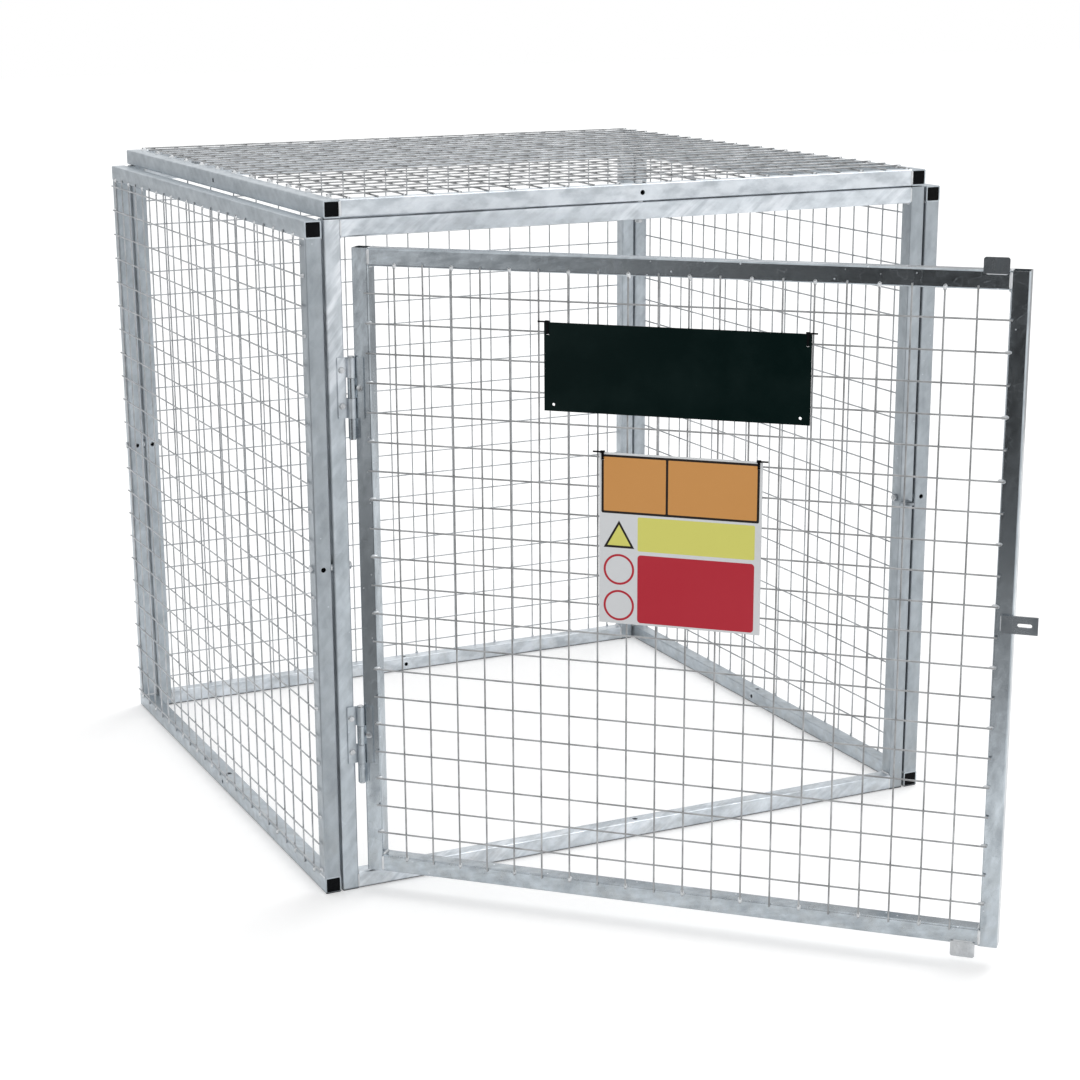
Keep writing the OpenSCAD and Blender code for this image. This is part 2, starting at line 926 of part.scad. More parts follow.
front_upright_left();
front_upright_right();
front_top_rail();
front_bottom_rail();
back_upright_left();
back_upright_right();
back_top_rail();
back_bottom_rail();
left_top_rail();
left_bottom_rail();
left_front_upright();
left_rear_upright();
right_top_rail();
right_bottom_rail();
right_front_upright();
right_rear_upright();
roof_left_rail();
roof_right_rail();
roof_front_rail();
roof_rear_rail();
left_mesh();
right_mesh();
back_mesh();
roof_mesh();
left_end_plugs();
right_end_plugs();
roof_end_plugs();
corner_bolts();
corner_nuts();
corner_spacers();
roof_bolts();
roof_nuts();
roof_spacers();
upper_hinge_frame_leaf();
upper_hinge_pin();
lower_hinge_frame_leaf();
lower_hinge_pin();
hinge_frame_bolts();
lock_staple();
door_hinge_stile();
door_lock_stile();
door_top_rail();
door_bottom_rail();
door_mesh();
upper_hinge_door_leaf();
lower_hinge_door_leaf();
hinge_door_bolts();
hasp_plate();
door_stop_top();
door_stop_bottom();
black_plate();
hazard_board();
sign_ties();
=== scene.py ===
import json
import math
import random

import bmesh
import bpy
import numpy as np
from bpy.props import FloatProperty, FloatVectorProperty, IntProperty, PointerProperty
from mathutils import Matrix, Vector


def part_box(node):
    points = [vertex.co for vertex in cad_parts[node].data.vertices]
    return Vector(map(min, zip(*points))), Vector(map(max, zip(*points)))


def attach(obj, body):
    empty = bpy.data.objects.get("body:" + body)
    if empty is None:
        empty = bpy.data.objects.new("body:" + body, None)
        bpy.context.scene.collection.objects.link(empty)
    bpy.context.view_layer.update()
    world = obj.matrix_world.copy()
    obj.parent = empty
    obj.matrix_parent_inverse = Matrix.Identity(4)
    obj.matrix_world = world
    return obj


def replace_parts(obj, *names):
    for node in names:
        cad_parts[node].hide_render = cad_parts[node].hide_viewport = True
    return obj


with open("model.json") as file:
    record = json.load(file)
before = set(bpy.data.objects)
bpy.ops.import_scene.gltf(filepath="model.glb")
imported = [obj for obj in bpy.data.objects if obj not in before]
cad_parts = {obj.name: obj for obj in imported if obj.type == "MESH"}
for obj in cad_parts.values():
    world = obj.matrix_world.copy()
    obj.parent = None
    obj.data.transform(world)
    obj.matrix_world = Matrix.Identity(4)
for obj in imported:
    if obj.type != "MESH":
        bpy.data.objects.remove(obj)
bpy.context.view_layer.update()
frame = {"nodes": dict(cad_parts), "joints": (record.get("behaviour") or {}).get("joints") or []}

bl_info = {
    "name": "Gas Cylinder Cage Dressing",
    "version": (1, 0, 0),
    "blender": (4, 5, 0),
    "location": "3D View > Sidebar > Cage",
    "description": "Gives the galvanised cage its finishes, welds, plugs, fixings and studio",
    "category": "Object",
}

MM = 0.001

# The door's hinge, read from the frame: its line, and how far the door stands open at rest
HINGE = frame["joints"][0]
HINGE_AT = Vector(HINGE["pos_m"])
DOOR_TURN = math.radians(HINGE["range_deg"][0])
SHUT_TO_OPEN = (
    Matrix.Translation(HINGE_AT) @ Matrix.Rotation(DOOR_TURN, 4, "Z") @ Matrix.Translation(-HINGE_AT))

# How near a vertex lies to a level that it is counted with
ON_LEVEL = 1e-4


def corners(node):
    """Every vertex of a CAD node as rows of x, y, z."""
    mesh = frame["nodes"][node].data
    flat = np.zeros(len(mesh.vertices) * 3)
    mesh.vertices.foreach_get("co", flat)
    return flat.reshape(-1, 3)


def seen_from(matrix, node):
    """The vertices of a CAD node in the axes of that matrix."""
    inverse = np.array(matrix.inverted())
    return corners(node) @ inverse[:3, :3].T + inverse[:3, 3]


def clusters(points, axes_used, gap):
    """Splits a cloud of points wherever it is empty for more than a gap along one of the axes."""
    groups = [points]
    for axis in axes_used:
        parted = []
        for group in groups:
            rows = group[np.argsort(group[:, axis])]
            parted += np.split(rows, np.where(np.diff(rows[:, axis]) > gap)[0] + 1)
        groups = parted
    return groups


def on_line(points, centre, axis, side, near=20 * MM):
    """The points near a line along an axis, mirrored so that they lie on its positive side."""
    keep = points[:, axis] * side > 0
    for i in range(3):
        if i != axis:
            keep &= abs(points[:, i] - centre[i]) < near
    found = points[keep].copy()
    found[:, axis] *= side
    return found


def span_at(points, axis, level):
    """How wide a cloud is across an axis at one level of it."""
    rows = points[abs(points[:, axis] - level) < ON_LEVEL]
    return max(np.ptp(rows[:, i]) for i in range(3) if i != axis)


def box_in(matrix, node):
    """Lowest and highest corner of a CAD node in the axes of that matrix."""
    points = seen_from(matrix, node)
    return Vector(points.min(0)), Vector(points.max(0))


def axes(across, up, out, origin):
    """A matrix whose columns are three directions and a point."""
    return Matrix((
        (across[0], up[0], out[0], origin[0]),
        (across[1], up[1], out[1], origin[1]),
        (across[2], up[2], out[2], origin[2]),
        (0, 0, 0, 1),
    ))


X, Y, Z = Vector((1, 0, 0)), Vector((0, 1, 0)), Vector((0, 0, 1))
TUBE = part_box("front_upright_left")[1].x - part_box("front_upright_left")[0].x
DOOR_LOW = box_in(SHUT_TO_OPEN, "door_hinge_stile")[0]
DOOR_HIGH = box_in(SHUT_TO_OPEN, "door_lock_stile")[1]
DOOR_TUBE = box_in(SHUT_TO_OPEN, "door_hinge_stile")[1].x - DOOR_LOW.x

# Lowest and highest corner of each fixed panel's frame
SPANS = {
    panel: (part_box(low_node)[0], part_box(high_node)[1])
    for panel, low_node, high_node in (
        ("front", "front_upright_left", "front_upright_right"),
        ("back", "back_upright_left", "back_upright_right"),
        ("left", "left_bottom_rail", "left_top_rail"),
        ("right", "right_bottom_rail", "right_top_rail"),
        ("roof", "roof_left_rail", "roof_right_rail"),
    )
}


def panel_axes():
    """Each panel's own axes: across, up along the panel and out of its outer face. They start in
    the lower left corner of that face, as someone sees it who stands outside."""
    front, back, left, right, roof = SPANS.values()
    turn = SHUT_TO_OPEN.to_3x3()
    return {
        "front": axes(X, Z, -Y, front[0]),
        "back": axes(-X, Z, Y, (back[1].x, back[1].y, back[0].z)),
        "left": axes(-Y, Z, -X, (left[0].x, left[1].y, left[0].z)),
        "right": axes(Y, Z, X, (right[1].x, right[0].y, right[0].z)),
        "roof": axes(X, Y, Z, (roof[0].x, roof[0].y, roof[1].z)),
        "door": axes(turn @ X, Z, turn @ -Y, SHUT_TO_OPEN @ DOOR_LOW),
    }


def panel_sizes():
    """Each panel's width and height, along its own axes."""
    sizes = {"door": (DOOR_HIGH.x - DOOR_LOW.x, DOOR_HIGH.z - DOOR_LOW.z)}
    for panel, across, up in (
        ("front", 0, 2), ("back", 0, 2), ("left", 1, 2), ("right", 1, 2), ("roof", 0, 1),
    ):
        low, high = SPANS[panel]
        sizes[panel] = (high[across] - low[across], high[up] - low[up])
    return sizes


PANELS = panel_axes()
PANEL_SIZE = panel_sizes()

# CAD nodes that share a finish, by the way their tubes run
HINGE_POST = ["front_upright_left", "upper_hinge_frame_leaf", "lower_hinge_frame_leaf"]
FRONT_POSTS = ["front_upright_right", "left_front_upright", "right_front_upright"]
REAR_POSTS = ["back_upright_left", "back_upright_right", "left_rear_upright", "right_rear_upright"]
FRONT_RAILS = ["front_top_rail", "front_bottom_rail"]
CROSS_RAILS = ["back_top_rail", "back_bottom_rail", "roof_front_rail", "roof_rear_rail"]
DEPTH_TUBES = [
    "left_top_rail", "left_bottom_rail", "right_top_rail", "right_bottom_rail",
    "roof_left_rail", "roof_right_rail",
]
DOOR_STILES = ["door_hinge_stile", "door_lock_stile", "upper_hinge_door_leaf", "lower_hinge_door_leaf"]
DOOR_RAILS = ["door_top_rail", "door_bottom_rail"]
NETS = {panel: f"{panel}_mesh" for panel in ("left", "right", "back", "roof", "door")}

# Colours laid over the zinc: a painted highlight, dust and a painted contact shadow; ink and white for the
# board, floor and cards
PAINTED_HIGHLIGHT = (0.88, 0.915, 0.96)
DUST = (0.42, 0.42, 0.40)
PAINTED_CONTACT_SHADE = (0.035, 0.037, 0.040)
INK = (0.012, 0.008, 0.006)
WHITE = (1, 1, 1, 1)

# Half the width of the soft edge of a printed field
PRINT_EDGE = 0.0002


# Sizes and colours a user may change


class CageTubeSettings(bpy.types.PropertyGroup):
    light_zinc: FloatVectorProperty(
        name="Light zinc", description="Colour of the brightest zinc on the tubes",
        subtype="COLOR", size=3, min=0, max=1, default=(0.56, 0.615, 0.66))
    dark_zinc: FloatVectorProperty(
        name="Dark zinc", description="Colour of the dullest zinc on the tubes",
        subtype="COLOR", size=3, min=0, max=1, default=(0.36, 0.40, 0.435))
    spangle: FloatProperty(
        name="Spangle size", description="Width of one zinc crystal",
        subtype="DISTANCE", unit="LENGTH", min=0.004, max=0.06, default=0.016)
    streak_angle: FloatProperty(
        name="Streak angle", description="Turn of the streaks from the tube's length",
        subtype="ANGLE", unit="ROTATION", min=0, max=math.pi / 2, default=math.radians(38))


class CageWeldSettings(bpy.types.PropertyGroup):
    bead_width: FloatProperty(
        name="Bead width", description="Width of the weld beads at the tube joints",
        subtype="DISTANCE", unit="LENGTH", min=0.003, max=0.009, default=0.0056)
    bead_height: FloatProperty(
        name="Bead height", description="How far the beads stand out of a face",
        subtype="DISTANCE", unit="LENGTH", min=0.0005, max=0.002, default=0.0012)
    fillet: FloatProperty(
        name="Corner fillet", description="Radius of the weld in the inner corners",
        subtype="DISTANCE", unit="LENGTH", min=0.001, max=0.004, default=0.0026)
    wire_step: IntProperty(
        name="Wire weld step", description="One wire in this many has a thick weld at its ends",
        min=1, max=6, default=2)


class CageFittingSettings(bpy.types.PropertyGroup):
    plug_corner: FloatProperty(
        name="Plug corner", description="Corner radius of the end plugs",
        subtype="DISTANCE", unit="LENGTH", min=0.0005, max=0.004, default=0.0030)
    tab_corner: FloatProperty(
        name="Tab corner", description="Corner radius of the stop tabs",
        subtype="DISTANCE", unit="LENGTH", min=0.001, max=0.008, default=0.004)
    plug_black: FloatVectorProperty(
        name="Plug black", description="Colour of the end plugs and cable ties",
        subtype="COLOR", size=3, min=0, max=1, default=(0.0022, 0.0026, 0.0034))


class CageBoardSettings(bpy.types.PropertyGroup):
    plate_black: FloatVectorProperty(
        name="Plate black", description="Colour of the blank glossy plate",
        subtype="COLOR", size=3, min=0, max=1, default=(0.0016, 0.0070, 0.0064))
    board_white: FloatVectorProperty(
        name="Board white", description="Ground colour of the coloured board",
        subtype="COLOR", size=3, min=0, max=1, default=(0.60, 0.615, 0.63))
    orange: FloatVectorProperty(
        name="Orange", description="Colour of the band along the board's top",
        subtype="COLOR", size=3, min=0, max=1, default=(0.55, 0.255, 0.066))
    yellow: FloatVectorProperty(
        name="Yellow", description="Colour of the board's middle field",
        subtype="COLOR", size=3, min=0, max=1, default=(0.60, 0.585, 0.13))
    red: FloatVectorProperty(
        name="Red", description="Colour of the board's lower field",
        subtype="COLOR", size=3, min=0, max=1, default=(0.42, 0.010, 0.026))


class CageStageSettings(bpy.types.PropertyGroup):
    lens: FloatProperty(
        name="Lens", description="Focal length of the camera on a 36 mm sensor, in millimetres",
        min=20, max=200, default=75.52)
    ambient: FloatProperty(
        name="Ambient", description="Strength of the even light from all around", min=0, max=2, default=0.80)
    key_strength: FloatProperty(
        name="Key light", description="Strength of the soft light from over the right of the cage",
        min=0, max=10, default=1.0)
    key_softness: FloatProperty(
        name="Key softness", description="How wide the soft light is", subtype="ANGLE", unit="ROTATION",
        min=0, max=math.pi / 2, default=math.radians(32))
    fill_power: FloatProperty(
        name="Fill light", description="Power of the lamp at the left of the camera",
        subtype="POWER", unit="POWER", min=0, max=2000, default=50)


def settings():
    return bpy.context.scene.cage_look


class CageLook(bpy.types.PropertyGroup):
    tubes: PointerProperty(type=CageTubeSettings, name="Tubes", description="Finish of the tubes")
    welds: PointerProperty(type=CageWeldSettings, name="Welds", description="Sizes of the welds")
    fittings: PointerProperty(type=CageFittingSettings, name="Fittings", description="Plugs and tabs")
    boards: PointerProperty(type=CageBoardSettings, name="Boards", description="Colours of the boards")
    stage: PointerProperty(type=CageStageSettings, name="Stage", description="Camera and light")


# Shader building blocks


class Sheet:
    """Adds nodes to one node tree and links them."""

    def __init__(self, tree):
        self.tree = tree
        self.column = 0

    def node(self, kind, inputs=None, **options):
        made = self.tree.nodes.new(kind)
        made.location = (self.column * 190, 0)
        self.column += 1
        for key, value in options.items():
            setattr(made, key, value)
        for key, value in (inputs or {}).items():
            self.feed(made.inputs[key], value)
        return made

    def feed(self, socket, value):
        if isinstance(value, bpy.types.NodeSocket):
            self.tree.links.new(value, socket)
        elif hasattr(value, "__len__") and hasattr(socket.default_value, "__len__"):
            wanted = len(socket.default_value)
            socket.default_value = (
                (tuple(value) + (1.0,))[:wanted] if len(value) < wanted else tuple(value)[:wanted])
        else:
            socket.default_value = value

    def math(self, operation, a, b=0.0, clamp=False):
        return self.node("ShaderNodeMath", {0: a, 1: b}, operation=operation, use_clamp=clamp).outputs[0]

    def plus(self, a, b, clamp=False):
        return self.math("ADD", a, b, clamp)

    def minus(self, a, b):
        return self.math("SUBTRACT", a, b)

    def times(self, a, b, clamp=False):
        return self.math("MULTIPLY", a, b, clamp)

    def total(self, *parts):
        """Adds up pairs of a share and a value."""
        share, value = parts[0]
        sum_now = self.times(value, share)
        for share, value in parts[1:]:
            sum_now = self.plus(sum_now, self.times(value, share))
        return sum_now

    def distance(self, a, b):
        """How far a place lies that is a away on one axis and b on the other."""
        return self.math("SQRT", self.plus(self.times(a, a), self.times(b, b)))

    def mix(self, share, a, b):
        made = self.node("ShaderNodeMix", data_type="RGBA")
        self.feed(made.inputs[0], share)
        self.feed(made.inputs[6], a)
        self.feed(made.inputs[7], b)
        return made.outputs[2]

    def span(self, value, low, high, to_low=0.0, to_high=1.0):
        """Maps a value from one range to another, clamped."""
        made = self.node("ShaderNodeMapRange", {0: value, 1: low, 2: high, 3: to_low, 4: to_high})
        return made.outputs[0]

    def soft(self, value, low, high, to_low=0.0, to_high=1.0):
        """The same with eased ends."""
        made = self.node(
            "ShaderNodeMapRange", {0: value, 1: low, 2: high, 3: to_low, 4: to_high},
            interpolation_type="SMOOTHSTEP")
        return made.outputs[0]

    def turned(self, vector, rotation=(0, 0, 0), scale=(1, 1, 1), location=(0, 0, 0)):
        made = self.node("ShaderNodeMapping", vector_type="POINT")
        self.feed(made.inputs["Vector"], vector)
        made.inputs["Rotation"].default_value = rotation
        made.inputs["Scale"].default_value = scale
        made.inputs["Location"].default_value = location
        return made.outputs[0]

    def stretched(self, vector, share):
        """Draws a pattern out along Z: the smaller the share, the longer it gets."""
        return self.turned(vector, scale=(1, 1, share))

    def apart(self, vector):
        """X, Y and Z of a vector."""
        return self.node("ShaderNodeSeparateXYZ", {0: vector}).outputs

    def noise(self, vector, scale, detail=3.0, roughness=0.5):
        made = self.node("ShaderNodeTexNoise", {"Scale": scale, "Detail": detail, "Roughness": roughness})
        self.feed(made.inputs["Vector"], vector)
        return made.outputs[0]

    def shows(self):
        """1 where the camera sees a surface, itself or in metal or glass, and 0 where light falls on it."""
        rays = self.node("ShaderNodeLightPath").outputs
        mirrored = self.math("MAXIMUM", rays["Is Glossy Ray"], rays["Is Transmission Ray"])
        return self.math("MAXIMUM", rays["Is Camera Ray"], mirrored)


def new_group(name, inputs, outputs):
    """An empty node group. An input is (name, kind, default), and an output is (name, kind)."""
    tree = bpy.data.node_groups.new(name, "ShaderNodeTree")
    for title, kind, default in inputs:
        made = tree.interface.new_socket(title, in_out="INPUT", socket_type="NodeSocket" + kind)
        if kind == "Color":
            made.default_value = (*default, 1.0)
        elif kind == "Float":
            made.default_value = default
    for title, kind in outputs:
        tree.interface.new_socket(title, in_out="OUTPUT", socket_type="NodeSocket" + kind)
    return tree, tree.nodes.new("NodeGroupInput"), tree.nodes.new("NodeGroupOutput")


def zinc_skin():
    """Hot-dip zinc: crystals, clouds and slanting streaks, with a painted highlight of near-white over them.
    Its Z runs along the tube.
    """
    if "Zinc skin" in bpy.data.node_groups:
        return bpy.data.node_groups["Zinc skin"]
    tree, given, out = new_group(
        "Zinc skin",
        [
            ("Vector", "Vector", None), ("Streak vector", "Vector", None),
            ("Spangles per metre", "Float", 60.0),
            ("Light", "Color", (0.6, 0.63, 0.65)), ("Dark", "Color", (0.3, 0.33, 0.35)),
            ("Streaks", "Float", 0.5), ("Gleam", "Float", 0.0), ("Gleam from", "Float", 0.0),
        ],
        [("Colour", "Color"), ("Roughness", "Float"), ("Height", "Float")],
    )
    s = Sheet(tree)
    place, streak_place = given.outputs["Vector"], given.outputs["Streak vector"]
    cells = s.node("ShaderNodeTexVoronoi", {"Scale": given.outputs["Spangles per metre"]}, feature="F1")
    s.feed(cells.inputs["Vector"], place)
    lots = s.node("ShaderNodeSeparateColor", {0: cells.outputs["Color"]})
    crystal = lots.outputs[0]
    specks = s.times(s.span(cells.outputs["Distance"], 0.13, 0.07), s.span(lots.outputs[1], 0.70, 0.73))

    # The scale of each noise is in waves per metre
    clouds = s.span(s.noise(s.stretched(place, 0.35), 17.0, 4.0, 0.62), 0.28, 0.72)
    blots = s.soft(s.noise(s.stretched(place, 0.5), 44.0, 3.0, 0.55), 0.34, 0.64)
    wide_streaks = s.noise(s.stretched(streak_place, 0.17), 72.0, 2.0, 0.5)
    fine_streaks = s.noise(s.stretched(streak_place, 0.12), 230.0, 2.0, 0.5)
    streaks = s.soft(s.total((0.82, wide_streaks), (0.18, fine_streaks)), 0.40, 0.66)
    broad = s.soft(s.noise(s.stretched(place, 0.5), 15.0, 2.0, 0.5), 0.36, 0.60)
    runs = s.span(s.noise(s.stretched(place, 0.06), 62.0, 2.0, 0.5), 0.38, 0.64)
    grit = s.noise(place, 900.0, 2.0, 0.6)

    slanted = s.times(streaks, given.outputs["Streaks"])
    body = s.total(
        (0.12, crystal), (0.32, clouds), (0.26, blots),
        (0.12, runs), (0.28, slanted), (0.22, s.minus(grit, 0.5)))
    tone = s.span(body, 0.10, 0.88)
    # Painted highlight: near-white over the streaks and blots, coming in along the tube from a given start;
    # the pale spangle specks take the same colour
    risen = s.span(s.minus(s.apart(place)[2], given.outputs["Gleam from"]), 0.0, 0.30)
    mottle = s.times(blots, s.minus(1.0, given.outputs["Streaks"]))
    marks = s.total((0.85, s.times(slanted, broad)), (0.45, mottle))
    painted_highlight = s.times(s.times(risen, given.outputs["Gleam"]), s.plus(marks, 0.24), clamp=True)
    painted_highlight = s.math("MAXIMUM", painted_highlight, s.times(specks, 0.65))
    plain = s.mix(tone, given.outputs["Dark"], given.outputs["Light"])
    s.feed(out.inputs["Colour"], s.mix(painted_highlight, plain, (*PAINTED_HIGHLIGHT, 1)))
    rough = s.span(s.plus(tone, s.times(grit, 0.4)), 0.0, 1.4, 0.50, 0.30)
    s.feed(out.inputs["Roughness"], s.math("MAXIMUM", rough, s.times(specks, 0.95)))
    s.feed(out.inputs["Height"], s.total((0.6, tone), (0.25, crystal), (0.35, grit)))
    return tree


def soiling():
    """A mask for dust and dull places that gather low on the cage."""
    if "Soiling" in bpy.data.node_groups:
        return bpy.data.node_groups["Soiling"]
    tree, given, out = new_group(
        "Soiling", [("Vector", "Vector", None), ("Amount", "Float", 0.5)], [("Mask", "Float")])
    s = Sheet(tree)
    place = given.outputs["Vector"]
    low = s.span(s.apart(place)[2], 0.0, 0.22, 1.0, 0.0)
    patches = s.span(s.noise(place, 34.0, 5.0, 0.65), 0.44, 0.70)
    s.feed(out.inputs["Mask"], s.times(s.times(s.plus(low, 0.25), patches), given.outputs["Amount"]))
    return tree


def bare_material(name):
    """A material with an empty node tree."""
    made = bpy.data.materials.new(name)
    made.use_nodes = True
    made.node_tree.nodes.clear()
    return made, Sheet(made.node_tree)


def new_material(name):
    """A material whose pattern follows the piece it lies on."""
    made, s = bare_material(name)
    return made, s, s.node("ShaderNodeTexCoord").outputs["Object"]


def surface(s, colour, roughness, metallic=0.0, normal=None, **sockets):
    """The Principled surface and the output of a material."""
    shader = s.node(
        "ShaderNodeBsdfPrincipled", {"Base Color": colour, "Roughness": roughness, "Metallic": metallic})
    for key, value in sockets.items():
        shader.inputs[key.replace("_", " ")].default_value = value
    if normal is not None:
        s.feed(shader.inputs["Normal"], normal)
    s.node("ShaderNodeOutputMaterial", {"Surface": shader.outputs[0]})


def bumped(s, height, strength, distance):
    return s.node("ShaderNodeBump", {"Height": height, "Strength": strength, "Distance": distance}).outputs[0]


def zinc_material(
    name, light, dark, spangles, turn=(0, 0, 0), streak_turn=0.0, streaks=0.5, painted_highlight=0.0, highlight_from=0.0,
    metallic=0.85, bump=0.25, smoother=0.0,
):
    """Zinc whose streaks follow a tube, with a painted highlight, dust low down and a painted contact shadow
    at the floor. turn brings the tube's length to Z, and the highlight's start says how far along it the
    painted highlight begins."""
    made, s, place = new_material(name)
    along = s.turned(place, rotation=turn) if any(turn) else place
    x, y, z = s.apart(along)
    flat = s.node("ShaderNodeCombineXYZ", {0: s.plus(x, y), 2: z}).outputs[0]
    slanted = s.turned(flat, rotation=(0, streak_turn, 0))
    skin = s.node("ShaderNodeGroup", node_tree=zinc_skin())
    s.feed(skin.inputs["Vector"], along)
    s.feed(skin.inputs["Streak vector"], slanted)
    skin.inputs["Spangles per metre"].default_value = spangles
    skin.inputs["Light"].default_value = (*light, 1)
    skin.inputs["Dark"].default_value = (*dark, 1)
    skin.inputs["Streaks"].default_value = streaks
    skin.inputs["Gleam"].default_value = painted_highlight
    skin.inputs["Gleam from"].default_value = highlight_from
    dust = s.node("ShaderNodeGroup", node_tree=soiling())
    s.feed(dust.inputs["Vector"], place)
    dust.inputs["Amount"].default_value = 0.30
    colour = s.mix(dust.outputs["Mask"], skin.outputs["Colour"], (*DUST, 1))
    # Painted contact shadow: the colour goes to near black in the last 4 mm above the floor, where the tube
    # meets it
    painted_contact_shadow = s.span(s.apart(place)[2], 0.0040, 0.0008)
    colour = s.mix(painted_contact_shadow, colour, (*PAINTED_CONTACT_SHADE, 1))
    rough = s.plus(skin.outputs["Roughness"], s.times(dust.outputs["Mask"], 0.25))
    if smoother:
        rough = s.minus(rough, smoother)
    surface(s, colour, rough, metallic, bumped(s, skin.outputs["Height"], bump, 0.0006))
    return made


def dress(nodes, material):
    """Puts a material on CAD nodes."""
    for name in nodes:
        slots = frame["nodes"][name].data.materials
        slots.clear()
        slots.append(material)


# Modelling helpers


def clear_selection():
    if bpy.context.mode != "OBJECT":
        bpy.ops.object.mode_set(mode="OBJECT")
    bpy.ops.object.select_all(action="DESELECT")


def pick(*objects):
    """Selects these objects alone, the first as the active one."""
    clear_selection()
    for o in objects:
        o.select_set(True)
    bpy.context.view_layer.objects.active = objects[0]


def editing(o):
    """Opens a piece for edit mode with nothing selected."""
    pick(o)
    bpy.ops.object.mode_set(mode="EDIT")
    bpy.ops.mesh.select_all(action="DESELECT")


def take_faces(o, test):
    """In edit mode, selects the faces that pass a test and no others."""
    bm = bmesh.from_edit_mesh(o.data)
    bpy.context.tool_settings.mesh_select_mode = (False, False, True)
    for face in bm.faces:
        face.select_set(bool(test(face)))
    bmesh.update_edit_mesh(o.data)


def take_edges(o, test):
    """In edit mode, selects the edges that pass a test and no others."""
    bm = bmesh.from_edit_mesh(o.data)
    bpy.context.tool_settings.mesh_select_mode = (False, True, False)
    for face in bm.faces:
        face.select_set(False)
    for edge in bm.edges:
        edge.select_set(bool(test(edge)))
    bmesh.update_edit_mesh(o.data)


def runs_along(edge, axis, tolerance=1e-6):
    """True for an edge parallel to one of the axes 0, 1 or 2."""
    d = edge.verts[1].co - edge.verts[0].co
    return all(abs(d[i]) < tolerance for i in range(3) if i != axis) and abs(d[axis]) > tolerance


def is_level(edge, tolerance=1e-6):
    """True for an edge whose two ends lie at one height."""
    return abs(edge.verts[0].co.z - edge.verts[1].co.z) < tolerance


def started(name):
    """Names the primitive that was just added and puts its place into its mesh."""
    made = bpy.context.active_object
    made.name = made.data.name = name
    bpy.ops.object.transform_apply(location=True, rotation=True, scale=True)
    return made


def block(size, name):
    """A block modelled round the origin, ready for edit mode."""
    clear_selection()
    bpy.ops.mesh.primitive_cube_add(size=1, location=(0, 0, 0), scale=size)
    return started(name)


def smooth_piece(o, degrees):
    """Turns all faces outwards and shades the piece smooth, but for edges sharper than that."""
    pick(o)
    bpy.ops.object.mode_set(mode="EDIT")
    bpy.ops.mesh.select_all(action="SELECT")
    bpy.ops.mesh.normals_make_consistent(inside=False)
    bpy.ops.object.mode_set(mode="OBJECT")
    bpy.ops.object.shade_smooth_by_angle(angle=math.radians(degrees))


def stamp(pattern, matrix):
    """A copy of a modelled pattern with its own mesh, laid down by that matrix."""
    made = pattern.copy()
    made.data = pattern.data.copy()
    bpy.context.scene.collection.objects.link(made)
    made.data.transform(matrix)
    made.matrix_world = Matrix.Identity(4)
    return made


def gather(parts, name, body, material):
    """Joins like pieces into one named piece that rides on a body."""
    pick(*parts)
    if len(parts) > 1:
        bpy.ops.object.join()
    made = bpy.context.view_layer.objects.active
    made.name = made.data.name = name
    made.data.materials.clear()
    made.data.materials.append(material)
    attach(made, body)
    clear_selection()
    return made


def discard(*patterns):
    for o in patterns:
        bpy.data.objects.remove(o)


def facing(along, out, at):
    """A matrix that lays a pattern's Z along a line and its Y out of a face."""
    along, out = Vector(along).normalized(), Vector(out).normalized()
    return axes(out.cross(along), out, along, at)


# The pieces themselves


def model_bead(name, length, width, height, seed):
    """A weld bead along Z, half in the face, drawn out ring by ring with a rounded ripple at each step."""
    rng = random.Random(seed)
    clear_selection()
    bpy.ops.mesh.primitive_circle_add(
        vertices=10, radius=width * 0.22, fill_type="NGON", location=(0, 0, -length / 2))
    made = started(name)
    bpy.ops.object.mode_set(mode="EDIT")
    bpy.ops.mesh.select_all(action="SELECT")
    pitch = width * 0.34
    rings = 2 * max(4, round(length / pitch))
    now = 0.44
    for i in range(rings):
        crest = i % 2 == 0
        want = (1.0 if crest else 0.86) * rng.uniform(0.93, 1.05)
        if i < 2 or i > rings - 3:
            want *= 0.80
        bpy.ops.mesh.extrude_region_move(TRANSFORM_OT_translate={"value": (0, 0, length / rings)})
        grow = want / now
        bpy.ops.transform.resize(
            value=(grow, grow, 1), center_override=(0, 0, -length / 2 + length / rings * (i + 1)))
        now = want
    bpy.ops.mesh.extrude_region_move(TRANSFORM_OT_translate={"value": (0, 0, 0.0004)})
    bpy.ops.transform.resize(value=(0.45, 0.45, 1), center_override=(0, 0, length / 2))
    bpy.ops.mesh.select_all(action="SELECT")
    bpy.ops.transform.resize(value=(1, 2 * height / width, 1), center_override=(0, 0, 0))
    bpy.ops.object.mode_set(mode="OBJECT")
    smooth_piece(made, 60)
    return made


def joint_lines(size, tube, rails_between):
    """Where a rectangular panel's tubes meet, in its own axes: (middle of the seam, the seam's direction,
    inner corner, direction from that corner into the panel)."""
    across, up = size
    found = []
    for a_in, a_mid, a_inward in ((tube, tube / 2, 1), (across - tube, across - tube / 2, -1)):
        for b_in, b_mid, b_inward in ((tube, tube / 2, 1), (up - tube, up - tube / 2, -1)):
            seam = (Vector((a_in, b_mid, 0)), Y) if rails_between else (Vector((a_mid, b_in, 0)), X)
            found.append((*seam, Vector((a_in, b_in, 0)), Vector((a_inward, b_inward, 0))))
    return found


